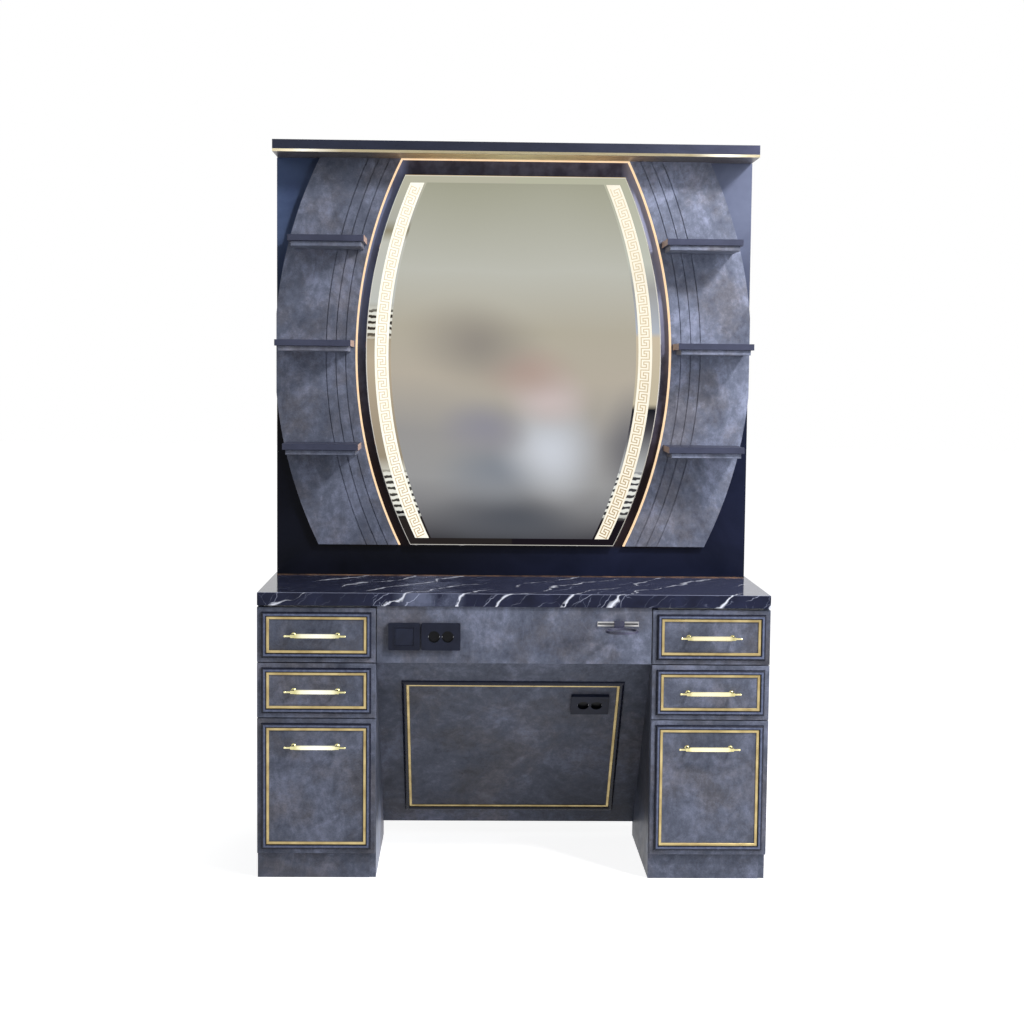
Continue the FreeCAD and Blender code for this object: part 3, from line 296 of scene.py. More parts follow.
def stone_laminate(name, lightness, front=None, foot=None, right=None):
    """Stone-look laminate: drifting clouds, trowel strokes, brown stains and a fine grain.

    front is the lightness of faces turned to the front, where they have their own: painted light
    on edges that face the lamps. foot says how much lighter a piece grows downwards, painted
    light towards the floor: the levels where it ends and starts, and the factor. right is a
    factor for the right end of the knee space, painted shade there.
    """
    tree = Tree(name)
    place = tree.place(spread=True)
    clouds = tree.noise(place, 3.6, detail=8.0, roughness=0.66, distortion=0.9)
    turned = tree.add("Mapping", inputs={
        "Vector": place, "Rotation": (0.0, 0.6, 0.0), "Scale": (1.0, 1.0, 0.5)})
    strokes = tree.noise(turned, 15.0, detail=7.0, roughness=0.7, distortion=1.2)
    mottle = tree.noise(place, 42.0, detail=7.0, roughness=0.75)
    blend = tree.math("ADD", tree.math("MULTIPLY", clouds, 0.42),
                      tree.math("MULTIPLY", strokes, 0.28))
    blend = tree.math("ADD", blend, tree.math("MULTIPLY", mottle, 0.3))
    colour = tree.graded(blend, STONE_TONES, lightness)
    scuff = tree.noise(place, 12.0, detail=8.0, roughness=0.78, distortion=0.6)
    colour = tree.mix(tree.span(scuff, 0.58, 0.72, 0.0, 0.4), colour,
                      tuple(lightness * part for part in srgb(*STONE_SCUFF)))
    stain = tree.noise(place, 5.2, detail=7.0, roughness=0.7)
    colour = tree.mix(tree.span(stain, 0.47, 0.63, 0.0, 0.85), colour,
                      tree.mix(1.0, colour, STONE_STAIN, "MULTIPLY"))
    flattened = tree.add("Mapping", inputs={"Vector": place, "Scale": (1.0, 1.0, 3.0)})
    weave = tree.noise(flattened, 240.0, detail=3.0, roughness=0.65)
    colour = tree.shade(colour, tree.span(weave, 0.32, 0.68, 0.84, 1.14))
    # The colour before the painted light and shade below.
    even = colour
    # Painted light: lighter towards the floor.
    if foot:
        low, high, factor = foot
        _, _, up = tree.here()
        colour = tree.mix(tree.span(up, high, low, smooth=True), colour,
                          tree.shade(colour, factor))
    # Painted shade at the knee space's right end.
    if right:
        across, _, _ = tree.here()
        colour = tree.mix(tree.span(across, *KNEE_SHADE), colour, tree.shade(colour, right))
    # Painted light on faces turned to the front.
    if front:
        facing = tree.axes(tree.add("NewGeometry", "Normal"))[1]
        colour = tree.mix(tree.math("LESS_THAN", facing, TURNED), colour,
                          tree.shade(even, front / lightness))
    tree.set(Base_Color=colour, Roughness=tree.span(mottle, 0.35, 0.65, 0.35, 0.52),
             Specular_IOR_Level=0.16)
    tree.bump(tree.math("ADD", tree.math("MULTIPLY", mottle, 0.5),
                        tree.math("MULTIPLY", weave, 0.5)), 0.14, 0.0006)
    return tree.owner


# The hutch's face changes over these levels above its foot, and distances from the middle.
# Above its dark foot its tones are painted reflections and painted light.
FACE_SIDES = (-0.3, 0.3)  # from the left's tones to the right's, painted lighter as lit from the right
DARK_FOOT = (0.1, 0.09)
# Beside the mirror the dark turns to a grey painted reflection between these levels.
PAINTED_REFLECTION_LEVELS = (0.3, 0.62)
# Painted lit strips beside the mirror's top: their levels and distances from the middle.
FLANK_LEVELS = (0.55, 1.0)
FLANK_SIDES = (0.33, 0.355)
# Upper corners outside the side panels: painted reflection on the left, painted light on the
# right.
CORNER_FOOT = 0.55
CORNER_HEAD = 0.1  # below the hutch's head
DARK_SIDES = (0.5, 0.55)
CORNER_SIDES = (0.5, 0.56)
# A painted warm glow from the light line in the reveal by the mirror's lower part.
REVEAL_FOOT = (38, 29, 33)
# The lit strips' colours: a bluish painted reflection on the left, painted light on the right.
FLANK_LEFT = (100, 112, 150)
FLANK_RIGHT = (138, 141, 168)


def gloss_panel():
    """Blue-black lacquered board, black at the foot, with painted reflections and light above:
    a warm glow in the reveal, a grey reflection beside the mirror and at the head, lit strips
    by the mirror's top, and upper corners bluish on the left and lit on the right.
    """
    tree = Tree("dark_gloss_panel")
    place = tree.place(spread=True)
    across, _, up = tree.here()
    clouds = tree.noise(place, 5.0, detail=6.0, roughness=0.6, distortion=0.6)
    fleck = tree.noise(place, 30.0, detail=4.0)
    on_right = tree.span(across, *FACE_SIDES, smooth=True)

    def toned(pattern, low, high, left, right):
        """Two tones by a pattern, with a pair for the left and one for the right."""
        return tree.mix(on_right, *(tree.graded(pattern, ((low, first), (high, second)))
                                    for first, second in (left, right)))

    def risen(low, high, smooth=True):
        return tree.span(up, HUTCH_LOW.z + low, HUTCH_LOW.z + high, smooth=smooth)

    dark = toned(clouds, 0.3, 0.7, ((8, 10, 18), (17, 19, 31)), ((17, 21, 38), (27, 31, 52)))
    # Painted reflection and light in the upper corners.
    corner = toned(clouds, 0.3, 0.7, ((56, 68, 98), (80, 95, 128)),
                   ((82, 87, 108), (100, 106, 128)))
    # The painted grey reflection beside the mirror.
    painted_reflection = toned(fleck, 0.35, 0.65, ((52, 52, 66), (72, 74, 92)), ((62, 60, 76), (86, 84, 102)))
    beyond = tree.math("ABSOLUTE", across)
    foot = tree.mix(tree.span(beyond, *DARK_SIDES), srgb(*REVEAL_FOOT), dark)
    colour = tree.mix(risen(*PAINTED_REFLECTION_LEVELS), foot, painted_reflection)
    # Painted light on the strips by the mirror's top.
    flank = tree.product(tree.span(beyond, *FLANK_SIDES), risen(*FLANK_LEVELS))
    colour = tree.mix(flank, colour,
                      tree.mix(on_right, srgb(*FLANK_LEFT), srgb(*FLANK_RIGHT)))
    outside = tree.mix(tree.span(up, HUTCH_LOW.z + CORNER_FOOT, HUTCH_HIGH.z - CORNER_HEAD,
                                 smooth=True), dark, corner)
    colour = tree.mix(tree.span(beyond, *CORNER_SIDES), colour, outside)
    colour = tree.mix(risen(*DARK_FOOT, smooth=False), colour, dark)
    tree.set(Base_Color=colour, Specular_IOR_Level=0.06,
             Roughness=tree.span(tree.noise(place, 60.0, detail=3.0), 0.35, 0.65, 0.14, 0.22))
    tree.bump(tree.noise(place, 9.0, detail=1.0), 0.03, 0.002)
    return tree.owner


def satin_panel():
    """Navy-grey satin foil of the shelf tops, with a faint cloud and painted warm light on the
    ends turned towards the mirror.
    """
    tree = Tree("dark_satin_panel")
    place = tree.place(spread=True)
    clouds = tree.noise(place, 7.0, detail=6.0, roughness=0.62, distortion=0.4)
    grain = tree.noise(place, 260.0, detail=3.0)
    colour = tree.graded(clouds, ((0.3, (48, 51, 68)), (0.7, (64, 67, 87))))
    tree.set(Base_Color=tree.warm_ends(colour), Specular_IOR_Level=0.2,
             Roughness=tree.span(grain, 0.3, 0.7, 0.3, 0.42))
    tree.bump(grain, 0.08, 0.0004)
    return tree.owner


# The cornice's face from left to right, painted lighter towards the lit right, and its underside
# from the middle outwards, with a painted warm glow from the light line in the middle.
CORNICE_FACE = ((0.0, (34, 38, 55)), (0.3, (34, 37, 51)), (0.6, (38, 41, 55)),
                (0.85, (52, 55, 71)), (1.0, (60, 62, 82)))
CORNICE_UNDER = ((0.0, (255, 236, 180)), (0.35, (225, 186, 132)), (0.5, (150, 124, 98)),
                 (0.62, (92, 86, 84)), (1.0, (92, 86, 88)))


def cornice_foil():
    """The cornice's satin foil: navy on the left, painted greyer towards the lit right, with a
    painted warm glow beneath.
    """
    tree = Tree("cornice_foil")
    place = tree.place(scale=(0.3, 1, 1))
    across, _, up = tree.here()
    streaks = tree.noise(place, 34.0, detail=5.0, roughness=0.6)
    grain = tree.noise(place, 260.0, detail=3.0)
    # Painted light: the face lighter towards the right, and a warm glow beneath.
    face = tree.graded(tree.span(across, CORNICE_LOW.x, CORNICE_HIGH.x), CORNICE_FACE)
    under = tree.graded(tree.span(tree.math("ABSOLUTE", across), 0.0, CORNICE_HIGH.x),
                        CORNICE_UNDER)
    colour = tree.mix(tree.math("LESS_THAN", up, CORNICE_LOW.z + 1 * MM), face, under)
    tree.set(Base_Color=tree.shade(colour, tree.span(streaks, 0.35, 0.65, 0.88, 1.12)),
             Roughness=tree.span(grain, 0.3, 0.7, 0.26, 0.36), Specular_IOR_Level=0.16)
    tree.bump(grain, 0.08, 0.0004)
    return tree.owner


def white_board():
    """Plain light melamine with a faint texture."""
    tree = Tree("white_board")
    grain = tree.noise(tree.place(scale=(1, 1, 4)), 160.0, detail=3.0)
    tree.set(Base_Color=tree.graded(grain, ((0.3, (186, 186, 186)), (0.7, (206, 206, 204)))),
             Roughness=tree.span(grain, 0.3, 0.7, 0.45, 0.6))
    tree.bump(grain, 0.05, 0.0003)
    return tree.owner


VEINED = ((-0.28, 0.24, 0.17), (0.18, 0.24, 0.12))  # X, half width and strength of rich parts
VEIN_NORMAL = (0.62, -0.5, -0.6)  # veins climb to the right on the edge, and run back on top
CROSS_NORMAL = (0.7, 0.35, 0.45)
SMOKE_MIDDLE = -0.25  # X of the patch of smoke
NOSING = 12 * MM  # how far back the painted highlight along the counter's front edge reaches


def vein_lines(tree, place, density, sway, scale, wide, normal=VEIN_NORMAL, start=0.0):
    """Thin lines across a normal, so many to a metre, swayed by a noise."""
    depth = tree.add("VectorMath", "Value", operation="DOT_PRODUCT", inputs={
        0: place, 1: normal})
    wander = tree.noise(place, scale, detail=4.0, roughness=0.55)
    phase = tree.math("MULTIPLY_ADD", depth, density,
                      tree.math("MULTIPLY_ADD", wander, sway, start))
    off = tree.math("PINGPONG", phase, 0.5)
    return tree.math("SUBTRACT", 1.0, tree.math("DIVIDE", off, wide), clamp=True)


def marble():
    """Black marble: slanting white veins, grey-lilac hairlines and a pale patch of smoke; on top
    a painted reflection that lightens to the right and a painted highlight along the front edge.
    """
    tree = Tree("marble")
    place = tree.place(offset=(0.37, 0.2, 0.1))
    across, depth, up = tree.here()
    presence = tree.noise(place, 4.2, detail=3.0)
    for middle, reach, more in VEINED:
        presence = tree.math("ADD", presence,
                             tree.span(tree.apart(across, middle), 0.03, reach, more, 0.0))
    broken = tree.noise(place, 30.0, detail=3.0, roughness=0.6)
    wide = tree.product(tree.span(presence, 0.46, 0.66, 0.004, 0.075),
                        tree.span(broken, 0.4, 0.6, 0.2, 1.3))
    vein = tree.product(vein_lines(tree, place, 10.0, 1.7, 4.0, wide, start=0.5),
                        tree.span(presence, 0.46, 0.54))
    calm = tree.span(presence, 0.5, 0.64, 0.35, 1.0)

    def fine_lines(density, sway, scale, wide, patches, low, high, most, normal=VEIN_NORMAL):
        """Thin lines that come and go by patches of a noise, and fade where veins are few."""
        shown = tree.span(tree.noise(place, patches, detail=3.0), low, high, 0.0, most)
        return tree.product(vein_lines(tree, place, density, sway, scale, wide, normal),
                            calm, shown)

    hair = fine_lines(20.0, 2.6, 6.0, 0.02, 9.0, 0.44, 0.56, 0.9)
    thread = fine_lines(38.0, 3.8, 9.0, 0.032, 15.0, 0.45, 0.56, 0.7)
    crossing = fine_lines(17.0, 2.8, 7.0, 0.02, 12.0, 0.48, 0.6, 0.7, CROSS_NORMAL)
    smoke = tree.product(
        tree.span(tree.noise(place, 9.0, detail=7.0, roughness=0.68), 0.38, 0.56, 0.0, 0.85),
        tree.span(presence, 0.5, 0.6),
        tree.span(tree.apart(across, SMOKE_MIDDLE), 0.11, 0.05))
    on_top = tree.math("GREATER_THAN", up, COUNTER_HIGH.z - 1 * MM)
    # Painted reflection on the top, lighter towards the right.
    painted_top_reflection = tree.product(on_top, tree.span(across, -1.0, 0.8, 0.04, 0.6))
    # Painted highlight along the top's front edge.
    nosing = tree.product(on_top, tree.span(depth, COUNTER_LOW.y + NOSING, COUNTER_LOW.y,
                                            0.0, 0.5))
    colour = tree.graded(tree.noise(place, 16.0, detail=5.0),
                         ((0.3, (20, 23, 42)), (0.7, (34, 38, 62))))
    for cover, tone in ((painted_top_reflection, (86, 90, 116)), (nosing, (150, 155, 178)),
                        (smoke, (104, 110, 134)), (thread, (140, 146, 172)),
                        (crossing, (140, 146, 172)), (hair, (182, 187, 212)),
                        (vein, (232, 235, 248))):
        colour = tree.mix(cover, colour, srgb(*tone))
    tree.set(Base_Color=colour, Roughness=tree.span(smoke, 0.0, 0.5, 0.1, 0.18),
             Specular_IOR_Level=0.13)
    return tree.owner


# ---------------------------------------------------------------- profiles, metals and plastics

def satin_profile():
    """Navy foil on a moulded profile, with a painted bluish highlight along its crest."""
    tree = Tree("dark_moulding")
    mottle = tree.noise(tree.place(), 90.0, detail=4.0)
    flank = tree.graded(mottle, ((0.3, (15, 18, 34)), (0.7, (24, 28, 46))))
    # Painted highlight: the bluish sheen on the most proud part of the profile.
    crest = tree.graded(mottle, ((0.3, (78, 85, 110)), (0.7, (102, 110, 136))))
    _, depth, _ = tree.here()
    on_crest = tree.span(depth, MOULDING_CREST + 0.45 * MM, MOULDING_CREST + 0.1 * MM)
    tree.set(Base_Color=tree.mix(on_crest, flank, crest), Specular_IOR_Level=0.24,
             Roughness=tree.span(mottle, 0.3, 0.7, 0.2, 0.28))
    tree.bump(mottle, 0.05, 0.0004)
    return tree.owner


def metal(name, dark, light, low_rough, high_rough, brush=(1, 1, 1)):
    """A metal with a brushed or lightly worn surface."""
    tree = Tree(name)
    fine = tree.noise(tree.place(scale=brush), 220.0, detail=3.0)
    wear = tree.noise(tree.place(), 24.0, detail=4.0)
    tree.set(Base_Color=tree.graded(wear, ((0.3, dark), (0.7, light))), Metallic=1.0,
             Roughness=tree.span(fine, 0.3, 0.7, low_rough, high_rough))
    tree.bump(fine, 0.04, 0.0002)
    return tree.owner


# The handles' brass from the middle of a bar to its ends: a painted highlight, palest in the
# middle.
LEFT_BRASS = ((0.0, (255, 253, 242)), (0.5, (246, 242, 212)), (0.72, (204, 197, 142)),
              (1.0, (222, 215, 168)))
RIGHT_BRASS = ((0.0, (246, 238, 202)), (0.6, (238, 228, 184)), (0.72, (200, 190, 136)),
               (1.0, (226, 216, 168)))


def handle_brass():
    """Polished brass with a painted highlight: palest along the middle of each bar, olive towards
    its ends.
    """
    tree = Tree("brass_handle")
    across, _, _ = tree.here()
    off_middle = tree.apart(tree.math("ABSOLUTE", across), (HANDLE_LOW.x + HANDLE_HIGH.x) / 2)
    outwards = tree.span(off_middle, 0.0, (HANDLE_HIGH.x - HANDLE_LOW.x) / 2)
    # Painted highlight along each bar.
    colour = tree.mix(tree.math("GREATER_THAN", across, 0.0),
                      tree.graded(outwards, LEFT_BRASS), tree.graded(outwards, RIGHT_BRASS))
    wear = tree.noise(tree.place(), 24.0, detail=4.0)
    tree.set(Base_Color=colour, Metallic=1.0, Roughness=tree.span(wear, 0.3, 0.7, 0.12, 0.24))
    return tree.owner


GOLD_REACH = 0.75  # X at which the gold strip's last tone is reached
# The cornice's gold strip from the middle outwards, with painted highlights towards its ends.
CORNICE_GOLD = ((0.0, (172, 162, 132)), (0.7, (176, 164, 134)), (0.86, (250, 244, 228)),
                (0.92, (226, 214, 184)), (1.0, (190, 178, 146)))


def cornice_gold():
    """The cornice's brushed gold strip, with painted highlights towards its two ends."""
    tree = Tree("cornice_gold")
    across, _, _ = tree.here()
    fine = tree.noise(tree.place(scale=(0.05, 1, 1)), 240.0, detail=3.0)
    # Painted highlights towards the ends.
    outwards = tree.span(tree.math("ABSOLUTE", across), 0.0, GOLD_REACH)
    tree.set(Base_Color=tree.graded(outwards, CORNICE_GOLD), Metallic=1.0,
             Roughness=tree.span(fine, 0.3, 0.7, 0.2, 0.34))
    tree.bump(fine, 0.04, 0.0002)
    return tree.owner


WELL_SHADE_COLOUR = (3, 4, 8)
WELL_LIP = 1.2 * MM  # the painted shade starts this far behind a well's mouth
WELL_EASE = 0.3 * MM


def plastic(name, dark, light, roughness, specular, wells=False):
    """Moulded plastic with a fine spark-eroded grain; the sockets' wells get painted shade
    inside.
    """
    tree = Tree(name)
    place = tree.place()
    grain = tree.noise(place, 900.0, detail=2.0)
    colour = tree.graded(tree.noise(place, 30.0, detail=3.0), ((0.3, dark), (0.7, light)))
    if wells:
        # Painted shade inside the wells.
        colour = tree.mix(inside_wells(tree), colour, srgb(*WELL_SHADE_COLOUR))
    tree.set(Base_Color=colour, Specular_IOR_Level=specular,
             Roughness=tree.span(grain, 0.3, 0.7, roughness - 0.06, roughness + 0.08))
    tree.bump(grain, 0.08, 0.0002)
    return tree.owner


def inside_wells(tree):
    """1 behind a socket's face and within one of its wells, and 0 elsewhere."""
    here = tree.place()
    inside = 0.0
    for _, turn in socket_places():
        inwards = turn.to_3x3() @ Vector((0, 1, 0))
        for well in WELLS:
            mouth = turn @ Vector((well, -PLATE_DEPTH, 0))
            away = tree.add("VectorMath", operation="SUBTRACT", inputs={0: here, 1: mouth})
            deep = tree.add("VectorMath", "Value", operation="DOT_PRODUCT",
                            inputs={0: away, 1: inwards})
            aside = tree.add("VectorMath", operation="CROSS_PRODUCT",
                             inputs={0: away, 1: inwards})
            off_axis = tree.add("VectorMath", "Value", operation="LENGTH", inputs={0: aside})
            within = tree.product(tree.math("GREATER_THAN", deep, WELL_LIP),
                                  tree.math("LESS_THAN", off_axis, WELL_RADIUS + WELL_EASE))
            inside = tree.math("ADD", inside, within, clamp=True)
    return inside


# ---------------------------------------------------------------- lit pieces and mirror

# The engraved key from the band's foot to its head.
LEFT_KEY = ((0.0, (198, 174, 134)), (0.3, (226, 210, 180)), (1.0, (232, 220, 192)))
RIGHT_KEY = ((0.0, (170, 144, 104)), (0.4, (202, 182, 146)), (1.0, (228, 214, 184)))


def glow(name, low, high, base):
    """A lit diffuser over a dim base, slightly uneven between its lamps; linear colours."""
    tree = Tree(name)
    uneven = tree.noise(tree.place(), 40.0, detail=1.0)
    tree.set(Base_Color=(*base, 1), Roughness=0.4, Specular_IOR_Level=0.0,
             Emission_Color=tree.ramp(uneven, ((0.3, low), (0.7, high))),
             Emission_Strength=1.0)
    return tree.owner


def key_glass(name, stops):
    """The engraved key: clear tan lines at the foot that drown in the light further up."""
    tree = Tree(name)
    _, _, up = tree.here()
    tree.set(Base_Color=(0.05, 0.045, 0.035, 1), Roughness=0.5, Specular_IOR_Level=0.0,
             Emission_Color=tree.graded(tree.span(up, BAND_LOW, BAND_HIGH), stops),
             Emission_Strength=1.0)
    return tree.owner


MIRROR_SWAY = Vector((0.2, 0.0, 0.1))  # how far a slow noise sways the mirrored room
# The painted reflection of the room, from the mirror's foot to its head.
MIRROR_ROOM = (
    (0.0, (42, 42, 46)), (0.04, (84, 84, 88)), (0.12, (130, 130, 132)), (0.18, (150, 150, 150)),
    (0.3, (152, 150, 148)), (0.46, (180, 172, 158)), (0.58, (178, 172, 156)),
    (0.74, (188, 188, 178)), (1.0, (160, 160, 140)))
# Soft blots in the painted room reflection: middle in X and Z, half width and height, colour.
MIRROR_BLOTS = (
    ((-0.02, 1.03), (0.28, 0.11), (82, 85, 92)),
    ((-0.07, 1.18), (0.2, 0.14), (130, 135, 143)),
    ((0.11, 1.27), (0.22, 0.2), (202, 206, 214)),
    ((-0.11, 1.32), (0.17, 0.12), (142, 141, 150)),
    ((0.1, 1.43), (0.18, 0.11), (200, 186, 184)),
    ((0.04, 1.5), (0.2, 0.1), (176, 156, 146)),
    ((-0.12, 1.58), (0.26, 0.16), (146, 140, 132)),
    ((0.4, 1.26), (0.14, 0.24), (104, 103, 108)),
)
BLOT_STRENGTH = 0.95
# The painted reflection in the strip outside the left and the right band, from foot to head.
LEFT_STRIP = (
    (0.0, (38, 34, 34)), (0.09, (40, 36, 34)), (0.12, (198, 196, 180)), (0.21, (188, 185, 172)),
    (0.24, (150, 138, 118)), (0.5, (184, 170, 148)), (0.62, (160, 150, 130)),
    (0.66, (192, 194, 188)), (0.82, (194, 194, 184)), (0.85, (140, 134, 112)),
    (0.88, (176, 176, 166)), (1.0, (184, 182, 162)))
RIGHT_STRIP = (
    (0.0, (26, 22, 28)), (0.07, (24, 20, 26)), (0.1, (184, 184, 180)), (0.18, (190, 192, 192)),
    (0.32, (72, 70, 76)), (0.375, (26, 28, 34)), (0.39, (194, 184, 160)), (0.57, (204, 190, 166)),
    (0.585, (178, 184, 194)), (0.7, (162, 162, 160)), (0.77, (192, 195, 184)),
    (1.0, (182, 182, 160)))
# Where painted reflected bars cross the strips: levels from and to, on both sides or on the
# left alone.
BAR_LEVELS = ((0.07, 0.21, False), (0.555, 0.65, True))
BAR_FADE = 0.02
BAR_LIGHT = (236, 237, 228)
BAR_DARK = (22, 20, 25)
# The painted highlight along the polished edge, from foot to head, and its width.
MIRROR_EDGE = ((0.0, (196, 192, 184)), (0.2, (190, 186, 176)), (0.4, (232, 226, 218)),
               (1.0, (214, 216, 204)))
MIRROR_EDGE_WIDE = 3.4 * MM


def mirrored_room(tree, here):
    """The painted reflection of a soft room: grades by height and blots, both swayed by a slow
    noise.
    """
    wobble = tree.add("TexNoise", "Color", inputs={"Vector": here, "Scale": 1.9, "Detail": 1.5})
    soft_x, _, soft_z = tree.axes(tree.add("VectorMath", operation="MULTIPLY_ADD", inputs={
        0: wobble, 1: MIRROR_SWAY, 2: here}))
    shift = MIRROR_SWAY / 2
    room = tree.graded(tree.span(soft_z, MIRROR_LOW.z + shift.z, MIRROR_HIGH.z + shift.z),
                       MIRROR_ROOM)
    for (middle_x, middle_z), (half_width, half_height), tone in MIRROR_BLOTS:
        across = tree.math("SUBTRACT", soft_x, middle_x + shift.x)
        above = tree.math("SUBTRACT", soft_z, middle_z + shift.z)
        away = tree.add("CombineXYZ", inputs={
            "X": tree.math("DIVIDE", across, half_width),
            "Y": tree.math("DIVIDE", above, half_height)})
        distance = tree.add("VectorMath", "Value", operation="LENGTH", inputs={0: away})
        room = tree.mix(tree.span(distance, 0.0, 1.0, BLOT_STRENGTH, 0.0, smooth=True), room,
                        srgb(*tone))
    return room


def mirrored_strip(tree, here, level):
    """The painted reflection in the clear strip beside each band: grades by height, crossed by
    bars.
    """
    x, _, _ = tree.axes(here)
    strip = tree.mix(tree.math("GREATER_THAN", x, 0.0), tree.graded(level, LEFT_STRIP),
                     tree.graded(level, RIGHT_STRIP))
    wave = tree.add("TexWave", "Fac", wave_type="BANDS", bands_direction="Z", inputs={
        "Vector": here, "Scale": 17.0, "Distortion": 2.4, "Detail": 2.0, "Detail Scale": 3.0})
    barred = 0.0
    for low, high, left_alone in BAR_LEVELS:
        within = tree.product(tree.span(level, low, low + BAR_FADE),
                              tree.span(level, high, high - BAR_FADE))
        if left_alone:
            within = tree.product(within, tree.math("LESS_THAN", x, 0.0))
        barred = tree.math("ADD", within, barred, clamp=True)
    strip = tree.mix(tree.product(barred, tree.span(wave, 0.5, 0.62, 0.0, 0.8)), strip,
                     srgb(*BAR_LIGHT))
    return tree.mix(tree.product(barred, tree.span(wave, 0.4, 0.3, 0.0, 0.92)), strip,
                    srgb(*BAR_DARK))


def mirror_glass():
    """Silvered glass with a painted reflection of a soft room, sharper in a clear strip, and a
    painted highlight along its bright edge.
    """
    tree = Tree("mirror")
    here = tree.add("TexCoord", "Object")
    x, _, z = tree.axes(here)
    rise = tree.math("SUBTRACT", z, ARC_LEVEL)
    reach = tree.math("SQRT", tree.math(
        "SUBTRACT", MIRROR_RADIUS ** 2, tree.math("MULTIPLY", rise, rise)))
    from_side = tree.math("SUBTRACT", tree.math("ADD", reach, MIRROR_CENTRE),
                          tree.math("ABSOLUTE", x))
    from_end = tree.math("MINIMUM", tree.math("SUBTRACT", MIRROR_HIGH.z, z),
                         tree.math("SUBTRACT", z, MIRROR_LOW.z))
    level = tree.span(z, MIRROR_LOW.z, MIRROR_HIGH.z)
    clear = tree.math("MAXIMUM", tree.math("LESS_THAN", from_side, CLEAR_INNER),
                      tree.math("LESS_THAN", from_end, BAND_LOW - MIRROR_LOW.z))
    # Painted reflections of the room and in the clear strips.
    colour = tree.mix(clear, mirrored_room(tree, here), mirrored_strip(tree, here, level))
    # Painted highlight along the polished edge.
    rim = tree.math("LESS_THAN", tree.math("MINIMUM", from_side, from_end), MIRROR_EDGE_WIDE)
    colour = tree.mix(rim, colour, tree.graded(level, MIRROR_EDGE))
    tree.set(Base_Color=colour, Metallic=1.0, Roughness=tree.span(clear, 0.0, 1.0, 0.16, 0.04))
    return tree.owner


# ---------------------------------------------------------------- mesh helpers

def add_piece(name, build, material, body=STATION, smooth=False):
    """Make a mesh with build(bm), finish it and let it ride on a body."""
    bm = bmesh.new()
    build(bm)
    bmesh.ops.recalc_face_normals(bm, faces=bm.faces)
    mesh = bpy.data.meshes.new(name)
    bm.to_mesh(mesh)
    bm.free()
    for face in mesh.polygons:
        face.use_smooth = smooth
    piece = bpy.data.objects.new(name, mesh)
    bpy.context.scene.collection.objects.link(piece)
    mesh.materials.append(material)
    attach(piece, body)


def slab(bm, left, right, front, back):
    """A closed thin strip: two rows of (x, z) points, from y front to y back."""
    rings = []
    for (lx, lz), (rx, rz) in zip(left, right):
        rings.append([bm.verts.new(point) for point in (
            (lx, front, lz), (rx, front, rz), (rx, back, rz), (lx, back, lz))])
    for low, high in zip(rings, rings[1:]):
        for index in range(4):
            after = (index + 1) % 4
            bm.faces.new((low[index], low[after], high[after], high[index]))
    bm.faces.new(rings[0])
    bm.faces.new(rings[-1])


def round_bar(bm, turn, centre, radius, length):
    """A short cylinder that runs front to back."""
    made = bmesh.ops.create_cone(bm, cap_ends=True, segments=24, radius1=radius,
                                 radius2=radius, depth=length)
    lay = Matrix.Rotation(math.pi / 2, 4, "X")
    bmesh.ops.transform(bm, verts=made["verts"],
                        matrix=turn @ Matrix.Translation(centre) @ lay)


def plain_bar(bm, turn, low, high):
    """A bar between two local corners, its edges eased."""
    made = bmesh.ops.create_cube(bm, size=1.0)
    size = Vector(high) - Vector(low)
    middle = (Vector(high) + Vector(low)) / 2
    bmesh.ops.transform(bm, verts=made["verts"],
                        matrix=turn @ Matrix.Translation(middle) @ Matrix.Diagonal((*size, 1)))
    edges = {edge for vert in made["verts"] for edge in vert.link_edges}
    bmesh.ops.bevel(bm, geom=list(edges), offset=min(size) * 0.25, segments=2,
                    affect="EDGES", profile=0.5)


# ---------------------------------------------------------------- lit bands of the mirror

def band_x(inset, z):
    """X of the mirror's right-hand edge at a level, moved inwards."""
    return MIRROR_CENTRE + math.sqrt(MIRROR_RADIUS ** 2 - (z - ARC_LEVEL) ** 2) - inset


def key_points(sign):
    """The running key as (x, z) points: both edges of its line, mitred at the corners."""
    cell = KEY_PERIOD / KEY_CELLS
    start = math.asin((BAND_LOW - ARC_LEVEL) / MIRROR_RADIUS) * MIRROR_RADIUS
    end = math.asin((BAND_HIGH - ARC_LEVEL) / MIRROR_RADIUS) * MIRROR_RADIUS
    count = int((end - start) / KEY_PERIOD)
    first = (start + end - count * KEY_PERIOD) / 2 / cell
    path = [(first, 0)]
    for period in range(count):
        path += [(first + period * KEY_CELLS + along, across) for along, across in KEY_TURNS]
    steps = [Vector((b[0] - a[0], b[1] - a[1])).normalized() for a, b in zip(path, path[1:])]
    steps = [steps[0], *steps, steps[-1]]

    def on_glass(along, across):
        radius = MIRROR_RADIUS + (across - KEY_ROWS / 2) * cell
        angle = along * cell / MIRROR_RADIUS
        x = MIRROR_CENTRE - BAND_MIDDLE + radius * math.cos(angle)
        return (sign * x, ARC_LEVEL + radius * math.sin(angle))

    left, right = [], []
    half = KEY_LINE / cell / 2
    for (along, across), before, after in zip(path, steps, steps[1:]):
        side = Vector((-before.y - after.y, before.x + after.x))
        side *= half / (1 + before.dot(after))
        left.append(on_glass(along + side.x, across + side.y))
        right.append(on_glass(along - side.x, across - side.y))
    return left, right


